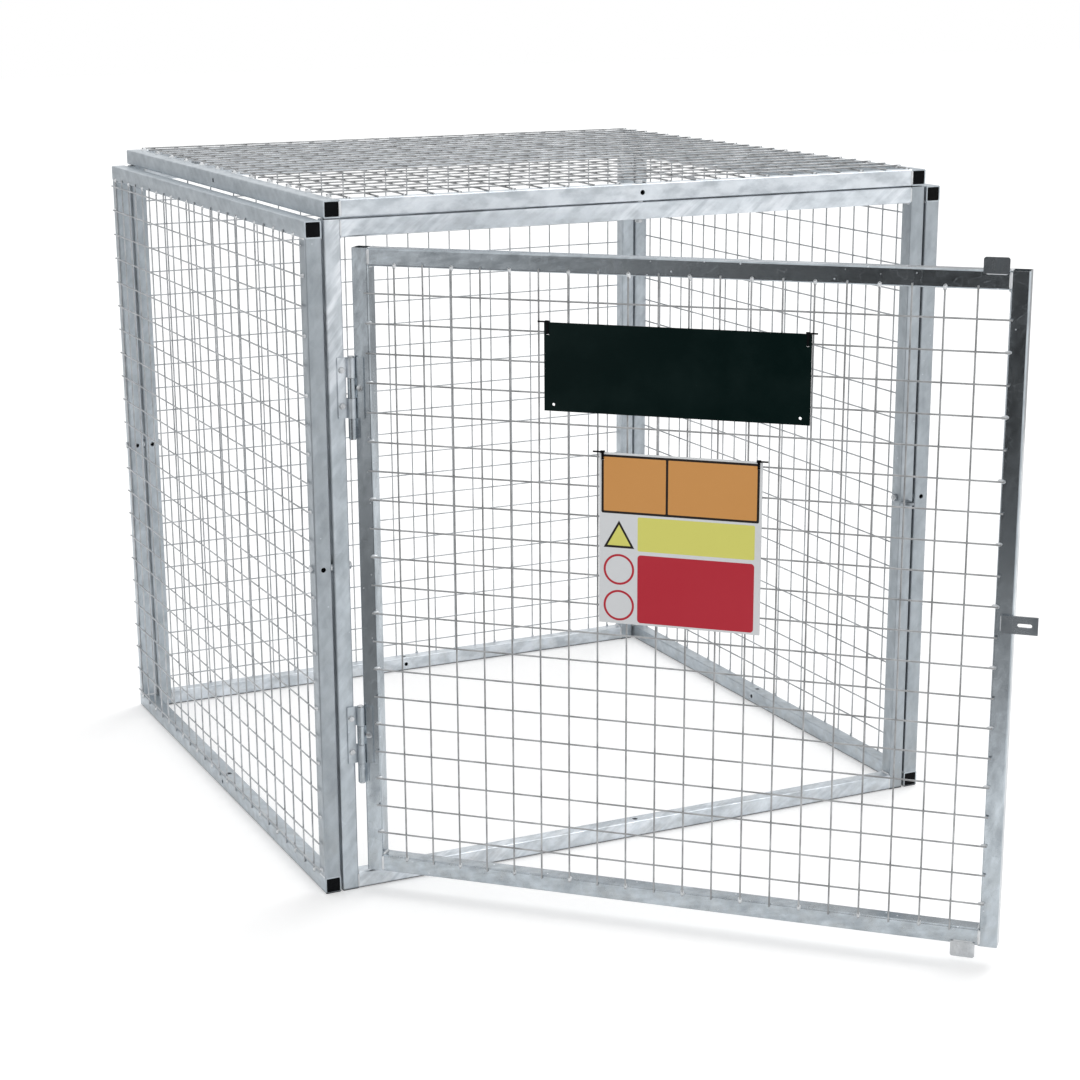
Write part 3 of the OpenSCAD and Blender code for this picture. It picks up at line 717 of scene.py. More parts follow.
def weld_panel(name, panel, tube, rails_between, body, material, outer_beads, beads, fillets, look):
    """Beads on the faces of each corner joint and a fillet in each inner corner."""
    matrix = PANELS[panel]
    parts = []
    for number, (seam, direction, corner, inward) in enumerate(
            joint_lines(PANEL_SIZE[panel], tube, rails_between)):
        for face, out in ((0.0, 1), (-tube, -1)):
            at = seam + Vector((0, 0, face))
            lay = facing(direction, Vector((0, 0, out)), at)
            pattern = outer_beads if out > 0 else beads
            parts.append(stamp(pattern[number % len(pattern)], matrix @ lay))
        if rails_between and panel in ("roof", "door"):
            edge = 0.0 if inward.y > 0 else PANEL_SIZE[panel][1]
            at = Vector((seam.x, edge, -tube / 2))
            parts.append(stamp(beads[number % len(beads)], matrix @ facing(Z, Vector((0, -inward.y, 0)), at)))
        reach = look.fillet * 0.28
        at = corner + Vector((inward.x * reach, inward.y * reach, -tube / 2))
        parts.append(stamp(fillets[number % len(fillets)], matrix @ facing(Z, inward, at)))
    return gather(parts, name, body, material)


def wire_ends(panel):
    """A net's wire ends in its panel's axes: (point, direction back along the wire, wire's number)."""
    points = seen_from(PANELS[panel], NETS[panel])
    found = []
    for axis in (0, 1):
        for side in (-1, 1):
            edge = points[:, axis].min() if side < 0 else points[:, axis].max()
            rows = points[abs(points[:, axis] - edge) < 0.2 * MM]
            for number, wire in enumerate(clusters(rows, (1 - axis,), 6 * MM)):
                back = Vector((0, 0, 0))
                back[axis] = -side
                found.append((Vector((wire.min(0) + wire.max(0)) / 2), back, number))
    return found


def model_nugget(name, length, width, height):
    """A small lump of weld round a wire's end: a low dome with a pulled nose, open to the tube's face."""
    clear_selection()
    bpy.ops.mesh.primitive_uv_sphere_add(segments=8, ring_count=5, radius=0.5, location=(0, 0, 0))
    made = started(name)
    bpy.ops.object.mode_set(mode="EDIT")
    bpy.ops.mesh.select_all(action="SELECT")
    bpy.ops.mesh.bisect(plane_co=(0, 0, -0.12), plane_no=(0, 0, -1), clear_outer=True, use_fill=True)
    bpy.ops.mesh.select_all(action="DESELECT")
    take_faces(made, lambda f: f.calc_center_median().x > 0.18 and f.normal.z > -0.5)
    bpy.ops.transform.translate(value=(0.14, 0.02, -0.05))
    take_faces(made, lambda f: f.normal.z < -0.9)
    bpy.ops.transform.resize(value=(1.25, 1.3, 1), center_override=(0, 0, -0.12))
    bpy.ops.mesh.select_all(action="SELECT")
    bpy.ops.transform.translate(value=(0, 0, 0.12))
    bpy.ops.transform.resize(value=(length, width, height / 0.62), center_override=(0, 0, 0))
    bpy.ops.object.mode_set(mode="OBJECT")
    smooth_piece(made, 70)
    return made


def model_plug(name, inside, depth, corner):
    """A square end plug: rounded edges, a dished outer face and a hollow back."""
    made = block((inside, depth, inside), name)
    editing(made)
    take_edges(made, lambda e: runs_along(e, 1))
    bpy.ops.mesh.bevel(offset=corner, offset_type="OFFSET", segments=4, profile=0.5)
    take_faces(made, lambda f: f.normal.y < -0.9)
    front = (0, -depth / 2, 0)
    for share, move in ((0.975, -0.0002), (0.84, 0.0), (0.97, 0.0006), (0.55, -0.0004), (0.93, 0.0003)):
        bpy.ops.mesh.extrude_region_move(TRANSFORM_OT_translate={"value": (0, move, 0)})
        bpy.ops.transform.resize(value=(share, 1, share), center_override=front)
    take_faces(made, lambda f: f.normal.y > 0.9)
    bpy.ops.mesh.extrude_region_move(TRANSFORM_OT_translate={"value": (0, 0, 0)})
    bpy.ops.transform.resize(value=(0.86, 1, 0.86), center_override=(0, depth / 2, 0))
    bpy.ops.mesh.extrude_region_move(TRANSFORM_OT_translate={"value": (0, -(depth - 0.003), 0)})
    bpy.ops.object.mode_set(mode="OBJECT")
    made.data.transform(Matrix.Translation((0, 0.0002, 0)))
    smooth_piece(made, 20)
    return made


def model_hexagon(name, flats, height, both_sides=False):
    """A hexagon that stands on its face, with round chamfers at its corners."""
    clear_selection()
    radius = flats / 2 / math.cos(math.pi / 6)
    bpy.ops.mesh.primitive_cylinder_add(
        vertices=6, radius=radius, depth=height, location=(0, 0, height / 2), rotation=(0, 0, math.pi / 6))
    made = started(name)
    bpy.ops.object.mode_set(mode="EDIT")
    for end in ((1, -1) if both_sides else (1,)):
        take_edges(made, lambda e: is_level(e) and (e.verts[0].co.z - height / 2) * end > 0)
        bpy.ops.mesh.bevel(offset=flats * 0.075, segments=3, profile=0.55)
    take_edges(made, lambda e: runs_along(e, 2))
    bpy.ops.mesh.bevel(offset=flats * 0.022, segments=2)
    bpy.ops.object.mode_set(mode="OBJECT")
    smooth_piece(made, 24)
    return made


def model_shank(name, diameter, length):
    """A round shank that hangs under a head, with a chamfered end."""
    clear_selection()
    bpy.ops.mesh.primitive_cylinder_add(
        vertices=24, radius=diameter / 2, depth=length, location=(0, 0, -length / 2))
    made = started(name)
    bpy.ops.object.mode_set(mode="EDIT")
    take_faces(made, lambda f: f.normal.z < -0.9)
    bpy.ops.mesh.bevel(offset=diameter * 0.1, segments=1)
    bpy.ops.object.mode_set(mode="OBJECT")
    smooth_piece(made, 35)
    return made


def model_washer(name, outer, thick):
    """A thin collar under a head, with a soft edge."""
    clear_selection()
    bpy.ops.mesh.primitive_cylinder_add(
        vertices=28, radius=outer / 2, depth=thick, location=(0, 0, thick / 2))
    made = started(name)
    bpy.ops.object.mode_set(mode="EDIT")
    take_faces(made, lambda f: f.normal.z > 0.9)
    bpy.ops.mesh.bevel(offset=thick * 0.4, segments=2)
    bpy.ops.object.mode_set(mode="OBJECT")
    smooth_piece(made, 35)
    return made


def model_dome(name, radius, height):
    """A flat-topped peened head for a hinge pin."""
    clear_selection()
    bpy.ops.mesh.primitive_cylinder_add(vertices=24, radius=radius, depth=height, location=(0, 0, height / 2))
    made = started(name)
    bpy.ops.object.mode_set(mode="EDIT")
    take_faces(made, lambda f: f.normal.z > 0.9)
    bpy.ops.mesh.bevel(offset=height * 0.8, segments=4, profile=0.6)
    bpy.ops.object.mode_set(mode="OBJECT")
    smooth_piece(made, 40)
    return made


def model_tab(name, width, thick, tall, corner, round_top):
    """A flat stop tab with two rounded corners on its free end."""
    made = block((width, thick, tall), name)
    editing(made)
    end = 1 if round_top else -1
    take_edges(made, lambda e: runs_along(e, 1) and e.verts[0].co.z * end > 0)
    bpy.ops.mesh.bevel(offset=corner, segments=5, profile=0.5)
    bpy.ops.object.mode_set(mode="OBJECT")
    smooth_piece(made, 35)
    return made


# Operators, one for each group of like pieces


class CAGE_OT_tube_finish(bpy.types.Operator):
    """Hot-dip zinc on every tube, with streaks that follow its length, lighter and darker copies of it as
    painted light and shade, and a painted highlight
    """

    bl_idname = "cage.tube_finish"
    bl_label = "Tube Finish"

    def execute(self, context):
        look = settings().tubes
        light, dark = tuple(look.light_zinc), tuple(look.dark_zinc)
        # Lit and shaded copies of the one zinc: a lighter copy, painted light, for the front and cross rails,
        # and a darker one, painted shade, for the front posts
        painted_light_zinc, door_dark = tuple(v * 1.2 for v in light), tuple(v * 0.85 for v in dark)
        scale = 1 / look.spangle
        quarter = math.pi / 2
        slant = look.streak_angle
        door_turn = (0, 0, -DOOR_TURN)
        darker_zinc, darker_zinc_dark = tuple(v * 0.79 for v in light), tuple(v * 0.84 for v in dark)
        # Painted highlight on the hinge post from 0.78 m up, and along the whole of the front and cross rails
        dress(HINGE_POST, zinc_material(
            "Zinc on hinge post", light, dark, scale, streak_turn=-slant, streaks=0.8,
            painted_highlight=1.0, highlight_from=0.78))
        dress(FRONT_POSTS, zinc_material(
            "Zinc on front posts", darker_zinc, darker_zinc_dark, scale, streak_turn=-slant, streaks=0.5))
        dress(REAR_POSTS, zinc_material(
            "Zinc on rear posts", light, dark, scale, streak_turn=-slant, streaks=0.6))
        dress(FRONT_RAILS, zinc_material(
            "Zinc on front rails", painted_light_zinc, dark, scale, turn=(0, quarter, 0), streak_turn=slant, streaks=0.65,
            painted_highlight=0.85, highlight_from=-2.0))
        dress(CROSS_RAILS, zinc_material(
            "Zinc on cross rails", painted_light_zinc, dark, scale, turn=(0, quarter, 0), streak_turn=slant, streaks=0.2,
            painted_highlight=0.8, highlight_from=-2.0))
        dress(DEPTH_TUBES, zinc_material(
            "Zinc on depth rails", light, dark, scale, turn=(quarter, 0, 0), streak_turn=slant, streaks=0.6))
        dress(DOOR_STILES, zinc_material(
            "Zinc on door stiles", light, door_dark, scale * 1.1, turn=door_turn, streak_turn=-slant * 0.6,
            streaks=0.6, metallic=1.0, smoother=0.2))
        dress(DOOR_RAILS, zinc_material(
            "Zinc on door rails", light, door_dark, scale * 1.1, turn=(0, quarter, -DOOR_TURN),
            streak_turn=slant * 0.5, streaks=0.55, metallic=1.0, smoother=0.2))
        return {"FINISHED"}


class CAGE_OT_net_finish(bpy.types.Operator):
    """Bright drawn and dipped wire on the five nets"""

    bl_idname = "cage.net_finish"
    bl_label = "Net Finish"

    def execute(self, context):
        for name, low, high, metallic, nets in (
            ("Zinc on door and roof wire", (0.22, 0.225, 0.23), (0.50, 0.51, 0.52), 0.82, ("door", "roof")),
            ("Zinc on panel wire", (0.32, 0.335, 0.35), (0.60, 0.62, 0.64), 0.70, ("left", "right", "back")),
        ):
            made, s, place = new_material(name)
            patches = s.span(s.noise(place, 26.0, 4.0, 0.6), 0.36, 0.66)
            fine = s.noise(place, 700.0, 2.0, 0.6)
            tone = s.plus(s.times(patches, 0.7), s.times(fine, 0.3), clamp=True)
            rough = s.span(tone, 0.0, 1.0, 0.46, 0.28)
            surface(s, s.mix(tone, (*low, 1), (*high, 1)), rough, metallic, bumped(s, fine, 0.2, 0.0004))
            dress([NETS[net] for net in nets], made)
        return {"FINISHED"}


class CAGE_OT_fitting_finish(bpy.types.Operator):
    """Zinc plate on pins, bolts, nuts, washers and lower stop, dull zinc on hasp, tongue and upper stop"""

    bl_idname = "cage.fitting_finish"
    bl_label = "Fitting Finish"

    def execute(self, context):
        plated = zinc_material(
            "Zinc plate", (0.70, 0.72, 0.74), (0.36, 0.38, 0.40), 150.0,
            streaks=0.3, metallic=1.0, bump=0.18, smoother=0.16)
        darker_zinc = zinc_material(
            "Zinc on fittings", (0.40, 0.43, 0.46), (0.17, 0.19, 0.21), 90.0,
            streaks=0.5, metallic=0.97, smoother=0.12)
        dress([
            "corner_bolts", "corner_nuts", "corner_spacers", "roof_bolts", "roof_nuts", "roof_spacers",
            "hinge_frame_bolts", "hinge_door_bolts", "upper_hinge_pin", "lower_hinge_pin", "door_stop_bottom",
        ], plated)
        dress(["hasp_plate", "lock_staple", "door_stop_top"], darker_zinc)
        return {"FINISHED"}


def mask_group(name, shape, *numbers):
    """Node group that is 1 inside a shape in the plane of X and Z, and 0 outside. shape gets the sheet,
    X, Z and the numbers' sockets, and gives how far a place lies outside the shape."""
    if name in bpy.data.node_groups:
        return bpy.data.node_groups[name]
    sockets = [("Vector", "Vector", None)] + [(number, "Float", 0.0) for number in numbers]
    tree, given, out = new_group(name, sockets, [("Mask", "Float")])
    s = Sheet(tree)
    place = s.apart(given.outputs["Vector"])
    outside = shape(s, place[0], place[2], *(given.outputs[number] for number in numbers))
    s.feed(out.inputs["Mask"], s.span(outside, -PRINT_EDGE, PRINT_EDGE, 1.0, 0.0))
    return tree


def off_field(s, x, z, centre_x, centre_z, half_width, half_height, corner):
    """How far a place lies outside a rectangle with round corners."""
    over = []
    for place, centre, half in ((x, centre_x, half_width), (z, centre_z, half_height)):
        away = s.math("ABSOLUTE", s.minus(place, centre))
        over.append(s.math("MAXIMUM", s.minus(away, s.minus(half, corner)), 0.0))
    return s.minus(s.distance(*over), corner)


def off_triangle(s, x, z, centre_x, foot, half_width, height):
    """How far a place lies outside a triangle that stands on its foot."""
    rise = s.minus(z, foot)
    left = s.minus(1.0, s.math("DIVIDE", rise, height))
    aside = s.minus(s.math("ABSOLUTE", s.minus(x, centre_x)), s.times(left, half_width))
    return s.math("MAXIMUM", aside, s.times(rise, -1.0))


def off_ring(s, x, z, centre_x, centre_z, radius, half_thickness):
    """How far a place lies off a flat ring."""
    far = s.distance(s.minus(x, centre_x), s.minus(z, centre_z))
    return s.minus(s.math("ABSOLUTE", s.minus(far, radius)), half_thickness)


def field_mask():
    return mask_group(
        "Rounded field", off_field, "Centre X", "Centre Z", "Half width", "Half height", "Corner")


def triangle_mask():
    return mask_group("Upright triangle", off_triangle, "Centre X", "Foot Z", "Half width", "Height")


def ring_mask():
    return mask_group("Flat ring", off_ring, "Centre X", "Centre Z", "Radius", "Half thickness")


def paint(s, place, tree, numbers, below, colour):
    """Lays one colour over another where a mask group says so. The numbers are in millimetres."""
    mask = s.node("ShaderNodeGroup", node_tree=tree)
    s.feed(mask.inputs["Vector"], place)
    for key, value in numbers.items():
        mask.inputs[key].default_value = value * MM
    return s.mix(mask.outputs["Mask"], below, (*colour, 1.0))


def paint_field(s, place, left, right, foot, top, corner, below, colour):
    """Lays a rounded field over another colour, from its edges in millimetres."""
    return paint(s, place, field_mask(), {
        "Centre X": (left + right) / 2, "Centre Z": (foot + top) / 2,
        "Half width": (right - left) / 2, "Half height": (top - foot) / 2, "Corner": corner}, below, colour)


class CAGE_OT_board_finish(bpy.types.Operator):
    """Gloss black plate, plain coloured fields on the board and black ties"""

    bl_idname = "cage.board_finish"
    bl_label = "Board Finish"

    def execute(self, context):
        look = settings().boards
        self.plate(look)
        self.board(look)
        dress(["sign_ties"], plastic_material("Tie plastic", settings().fittings.plug_black, 240.0))
        return {"FINISHED"}

    def plate(self, look):
        """Gloss black with faint smears."""
        made, s, place = new_material("Black gloss plate")
        smears = s.span(s.noise(place, 9.0, 4.0, 0.6), 0.45, 0.75)
        smeared = tuple(v * 1.4 + 0.0008 for v in look.plate_black)
        colour = s.mix(smears, (*look.plate_black, 1), (*smeared, 1))
        rough = s.span(smears, 0.0, 1.0, 0.16, 0.30)
        wave = s.noise(place, 14.0, 2.0, 0.4)
        surface(s, colour, rough, 0.0, bumped(s, wave, 0.12, 0.002), Specular_IOR_Level=0.12)
        dress(["black_plate"], made)

    def board(self, look):
        """Plain fields on a white ground, in millimetres from the board's lower left corner."""
        low, high = box_in(PANELS["door"], "hazard_board")
        width, tall = (high.x - low.x) / MM, (high.y - low.y) / MM
        corner = PANELS["door"] @ Vector((low.x, low.y, high.z))
        made, s, place = new_material("Coloured board")
        level = Matrix.Rotation(-DOOR_TURN, 4, "Z")
        flat = s.turned(place, rotation=(0, 0, -DOOR_TURN), location=-(level @ corner))
        shade = s.span(s.noise(flat, 5.0, 3.0, 0.5), 0.3, 0.7, 0.0, 1.0)
        shaded_white = tuple(v * 0.96 for v in look.board_white)
        paper = s.mix(shade, (*shaded_white, 1), (*look.board_white, 1))

        # Two orange fields in one dark frame
        left, split, right = 4.0, 116.0, width - 4.0
        foot, top, frame_width = tall - 102.0, tall - 3.0, 4.0
        colour = paint_field(s, flat, left, right, foot, top, 3.0, paper, INK)
        for x0, x1 in (
            (left + frame_width, split - frame_width / 2),
            (split + frame_width / 2, right - frame_width),
        ):
            colour = paint_field(
                s, flat, x0, x1, foot + frame_width, top - frame_width, 1.5, colour, look.orange)

        # A yellow field over a red one
        left, right = 66.5, width - 10.5
        for foot, top, tint, rounding in ((127.0, 185.0, look.yellow, 3.0), (3.5, 120.5, look.red, 6.0)):
            colour = paint_field(s, flat, left, right, foot, top, rounding, colour, tint)

        # A triangle and two rings beside them
        sign_x = 34.5
        for foot, half_width, height, tint in ((130.5, 26.5, 47.0, INK), (134.5, 20.0, 35.5, look.yellow)):
            colour = paint(s, flat, triangle_mask(), {
                "Centre X": sign_x, "Foot Z": foot, "Half width": half_width, "Height": height}, colour, tint)
        for z in (93.5, 31.5):
            colour = paint(s, flat, ring_mask(), {
                "Centre X": sign_x, "Centre Z": z, "Radius": 24.6, "Half thickness": 1.9}, colour, look.red)

        # The print lies on the front face only
        print_mask = s.span(s.apart(flat)[1], 0.0006, 0.0010, 1.0, 0.0)
        colour = s.mix(print_mask, paper, colour)
        grain = s.noise(flat, 420.0, 2.0, 0.5)
        rough = s.span(shade, 0, 1, 0.34, 0.46)
        surface(s, colour, rough, 0.0, bumped(s, grain, 0.08, 0.0003), Specular_IOR_Level=0.35)
        dress(["hazard_board"], made)


def plastic_material(name, black, grain_scale):
    """Moulded black plastic with a fine grain and a few rubbed places."""
    made, s, place = new_material(name)
    grain = s.noise(place, grain_scale, 3.0, 0.6)
    rubs = s.span(s.noise(place, 60.0, 3.0, 0.5), 0.52, 0.72)
    rubbed = tuple(v * 1.6 + 0.001 for v in black)
    colour = s.mix(rubs, (*black, 1), (*rubbed, 1))
    rough = s.span(grain, 0.3, 0.7, 0.40, 0.58)
    surface(s, colour, rough, 0.0, bumped(s, grain, 0.3, 0.0003), Specular_IOR_Level=0.07)
    return made


class CAGE_OT_end_plugs(bpy.types.Operator):
    """Black plugs in the open ends of the long rails"""

    bl_idname = "cage.end_plugs"
    bl_label = "End Plugs"

    def execute(self, context):
        look = settings().fittings
        material = plastic_material("Plug plastic", look.plug_black, 300.0)
        for node, rails in (
            ("left_end_plugs", ("left_bottom_rail", "left_top_rail")),
            ("right_end_plugs", ("right_bottom_rail", "right_top_rail")),
            ("roof_end_plugs", ("roof_left_rail", "roof_right_rail")),
        ):
            low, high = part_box(node)
            points = corners(node)
            upper_low, upper_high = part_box(rails[1])
            front_top = points[points[:, 1] < low.y + ON_LEVEL][:, 2].max()
            inside = (front_top - (upper_low.z + upper_high.z) / 2) * 2
            depth = np.ptp(points[points[:, 1] < (low.y + high.y) / 2][:, 1])
            pattern = model_plug("plug pattern", inside, depth, look.plug_corner)
            parts = []
            for rail in rails:
                a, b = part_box(rail)
                x, z = (a.x + b.x) / 2, (a.z + b.z) / 2
                front = Matrix.Translation((x, low.y + depth / 2, z))
                rear = Matrix.Translation((x, high.y - depth / 2, z)) @ Matrix.Rotation(math.pi, 4, "Z")
                parts += [stamp(pattern, front), stamp(pattern, rear)]
            made = gather(parts, node.replace("end_plugs", "plugs"), "cage", material)
            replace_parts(made, node)
            discard(pattern)
        return {"FINISHED"}


def weld_material():
    """Dipped weld metal: brighter and rougher than the tubes."""
    if "Dipped weld" in bpy.data.materials:
        return bpy.data.materials["Dipped weld"]
    return zinc_material(
        "Dipped weld", (0.86, 0.88, 0.90), (0.56, 0.58, 0.60), 260.0, streaks=0.2, metallic=0.55, bump=0.5)


def model_beads(name, count, first_seed, *sizes):
    """A few beads of one size that differ as hand-laid welds do."""
    return [model_bead(f"{name} {i}", *sizes, first_seed + i) for i in range(count)]


class CAGE_OT_frame_welds(bpy.types.Operator):
    """Weld beads and corner fillets at the tube joints of the five fixed panels"""

    bl_idname = "cage.frame_welds"
    bl_label = "Frame Welds"

    def execute(self, context):
        look = settings().welds
        long = TUBE - 5 * MM
        beads = model_beads("bead", 3, 0, long, look.bead_width, look.bead_height)
        ground = model_beads("ground bead", 2, 5, long, look.bead_width * 0.6, look.bead_height * 0.35)
        fillets = model_beads("fillet", 2, 10, TUBE - 8 * MM, look.fillet * 2, look.fillet)
        for name, panel, between in (
            ("front_frame_welds", "front", True), ("back_frame_welds", "back", True),
            ("left_panel_welds", "left", False), ("right_panel_welds", "right", False),
            ("roof_panel_welds", "roof", True),
        ):
            weld_panel(name, panel, TUBE, between, "cage", weld_material(), ground, beads, fillets, look)
        discard(*beads, *ground, *fillets)
        return {"FINISHED"}


class CAGE_OT_door_welds(bpy.types.Operator):
    """Weld beads on the door frame, its stop tabs and its hasp"""

    bl_idname = "cage.door_welds"
    bl_label = "Door Welds"

    def execute(self, context):
        look = settings().welds
        beads = model_beads("bead", 3, 20, DOOR_TUBE - 5 * MM, look.bead_width, look.bead_height)
        fillets = model_beads("fillet", 2, 30, DOOR_TUBE - 7 * MM, look.fillet * 2, look.fillet)
        weld_panel(
            "door_frame_welds", "door", DOOR_TUBE, True, "door", weld_material(), beads, beads, fillets, look)
        discard(*beads, *fillets)

        # One bead along each stop tab and one along the hasp, laid between the fitting and the tube's face
        parts = []
        for node, side in (("door_stop_top", 1), ("door_stop_bottom", -1)):
            low, high = box_in(PANELS["door"], node)
            bead = model_bead("tab bead", (high.x - low.x) * 0.8, 0.0045, 0.0014, 40)
            at = Vector(((low.x + high.x) / 2, low.y if side > 0 else high.y, 0.0004))
            parts.append(stamp(bead, PANELS["door"] @ facing(X, Vector((0, -side * 0.8, 1)), at)))
            discard(bead)
        low, high = box_in(PANELS["door"], "hasp_plate")
        bead = model_bead("hasp bead", (high.y - low.y) * 0.86, 0.0045, 0.0015, 42)
        at = Vector((low.x, (low.y + high.y) / 2, 0.0005))
        parts.append(stamp(bead, PANELS["door"] @ facing(Y, Vector((-0.8, 0, 1)), at)))
        discard(bead)
        gather(parts, "door_fitting_welds", "door", weld_material())
        return {"FINISHED"}


class CAGE_OT_wire_welds(bpy.types.Operator):
    """Lumps of weld where the wires end on the tubes"""

    bl_idname = "cage.wire_welds"
    bl_label = "Wire Welds"

    def execute(self, context):
        look = settings().welds
        for panel, net in NETS.items():
            points = seen_from(PANELS[panel], net)
            reach = points[:, 2].max()
            rng = random.Random(net)
            low_nugget = model_nugget("low nugget", 0.0088, 0.0062, reach * 0.60)
            high_nugget = model_nugget("high nugget", 0.0100, 0.0062, reach * 0.985)
            parts = []
            for end, back, number in wire_ends(panel):
                if number % look.wire_step:
                    continue
                lower = end.z < reach / 2
                pattern = low_nugget if lower else high_nugget
                turn = math.atan2(back.y, back.x) + rng.uniform(-0.25, 0.25)
                at = Vector((end.x, end.y, 0)) + back * 0.0042
                grow = rng.uniform(0.85, 1.0)
                lay = (
                    Matrix.Translation(at) @ Matrix.Rotation(turn, 4, "Z")
                    @ Matrix.Diagonal((grow, grow, 1, 1)))
                parts.append(stamp(pattern, PANELS[panel] @ lay))
            body = "door" if panel == "door" else "cage"
            gather(parts, f"{panel}_wire_welds", body, weld_material())
            discard(low_nugget, high_nugget)
        return {"FINISHED"}


class CAGE_OT_fixings(bpy.types.Operator):
    """Chamfered bolt heads, pin heads and rounded stop tabs"""

    bl_idname = "cage.fixings"
    bl_label = "Fixings"

    def execute(self, context):
        plated = bpy.data.materials["Zinc plate"]
        self.panel_bolts(plated)
        self.hinge_bolts(plated)
        self.pin_heads(plated)
        self.stop_tabs(plated, bpy.data.materials["Zinc on fittings"])
        return {"FINISHED"}

    def pin_heads(self, material):
        """A peened head at both ends of each hinge pin."""
        parts = []
        for hinge in ("upper_hinge", "lower_hinge"):
            low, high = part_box(f"{hinge}_pin")
            centre = (low + high) / 2
            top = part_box(f"{hinge}_frame_leaf")[1].z + 0.1 * MM
            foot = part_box(f"{hinge}_door_leaf")[0].z - 0.1 * MM
            head = model_dome("pin head", (high.x - low.x) / 2 * 1.45, 2.6 * MM)
            upside_down = Matrix.Rotation(math.pi, 4, "X")
            parts.append(stamp(head, Matrix.Translation((centre.x, centre.y, top))))
            parts.append(stamp(head, Matrix.Translation((centre.x, centre.y, foot)) @ upside_down))
            discard(head)
        gather(parts, "hinge_pin_heads", "cage", material)

    def stop_tabs(self, plated, darker_zinc):
        """The two tabs that meet the frame when the door is shut."""
        for node, name, round_top, material in (
            ("door_stop_top", "stop_tab_top", True, darker_zinc),
            ("door_stop_bottom", "stop_tab_bottom", False, plated),
        ):
            low, high = box_in(PANELS["door"], node)
            size = high - low
            tab = model_tab("tab pattern", size.x, size.z, size.y, settings().fittings.tab_corner, round_top)
            lay = PANELS["door"] @ axes(X, -Z, Y, (low + high) / 2)
            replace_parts(gather([stamp(tab, lay)], name, "door", material), node)
            discard(tab)

    def panel_bolts(self, material):
        """The bolts and nuts between the panels, on the lines of their distance washers."""
        for family, axis, up in (("corner", 0, Z), ("roof", 2, Y)):
            washers = clusters(corners(f"{family}_spacers"), (0, 1) if axis == 0 else (1,), 0.2)
            patterns, bolt_parts, nut_parts = None, [], []
            for washer in washers:
                centre = Vector((washer.min(0) + washer.max(0)) / 2)
                side = math.copysign(1, centre[axis]) if axis == 0 else 1.0
                bolt = on_line(corners(f"{family}_bolts"), centre, axis, side)
                nut = on_line(corners(f"{family}_nuts"), centre, axis, side)
                if patterns is None:
                    tip, top = bolt[:, axis].min(), bolt[:, axis].max()
                    flats = min(np.ptp(nut[:, i]) for i in range(3) if i != axis)
                    shank = np.ptp(bolt[bolt[:, axis] < tip + ON_LEVEL][:, 1])
                    seat = max(
                        v for v in bolt[:, axis] if v < top - 0.003 and span_at(bolt, axis, v) > flats * 0.9)
                    nut_low, nut_high = nut[:, axis].min(), nut[:, axis].max()
                    patterns = (
                        model_hexagon("head", flats, top - seat), model_shank("shank", shank, seat - tip),
                        model_hexagon("nut", flats, nut_high - nut_low, both_sides=True),
                    )
                out = Vector([side if i == axis else 0.0 for i in range(3)])
                for pattern, level, kept in zip(
                        patterns, (seat, seat, nut_low), (bolt_parts, bolt_parts, nut_parts)):
                    at = Vector(centre)
                    at[axis] = level * side
                    kept.append(stamp(pattern, facing(out, up, at)))
            discard(*patterns)
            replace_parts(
                gather(bolt_parts, f"{family}_hex_bolts", "cage", material), f"{family}_bolts")
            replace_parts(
                gather(nut_parts, f"{family}_hex_nuts", "cage", material), f"{family}_nuts")

    def hinge_bolts(self, material):
        """The small bolts in the hinge leaves, each with a washer under its head."""
        for node, name, body, matrix, out in (
            ("hinge_frame_bolts", "hinge_frame_screws", "cage", Matrix.Identity(4), -Y),
            ("hinge_door_bolts", "hinge_door_screws", "door", SHUT_TO_OPEN, -Y),
        ):
            patterns, parts = None, []
            for bolt in clusters(seen_from(matrix, node), (2,), 0.02):
                low, high = bolt.min(0), bolt.max(0)
                if patterns is None:
                    flats = high[0] - low[0]
                    seat = min(
                        v for v in bolt[:, 1] if v > low[1] + 0.002 and span_at(bolt, 1, v) > flats * 0.9)
                    collar = 1 * MM
                    patterns = (
                        (model_washer("collar", flats * 1.16, collar), 0.0),
                        (model_hexagon("head", flats * 0.94, seat - low[1] - collar), collar),
                        (model_shank("shank", 6 * MM, high[1] - seat), 0.0),
                    )
                lay = facing(out, Z, Vector(((low[0] + high[0]) / 2, seat, (low[2] + high[2]) / 2)))
                for pattern, rise in patterns:
                    parts.append(stamp(pattern, matrix @ lay @ Matrix.Translation((0, 0, rise))))
            discard(*(pattern for pattern, rise in patterns))
            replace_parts(gather(parts, name, body, material), node)


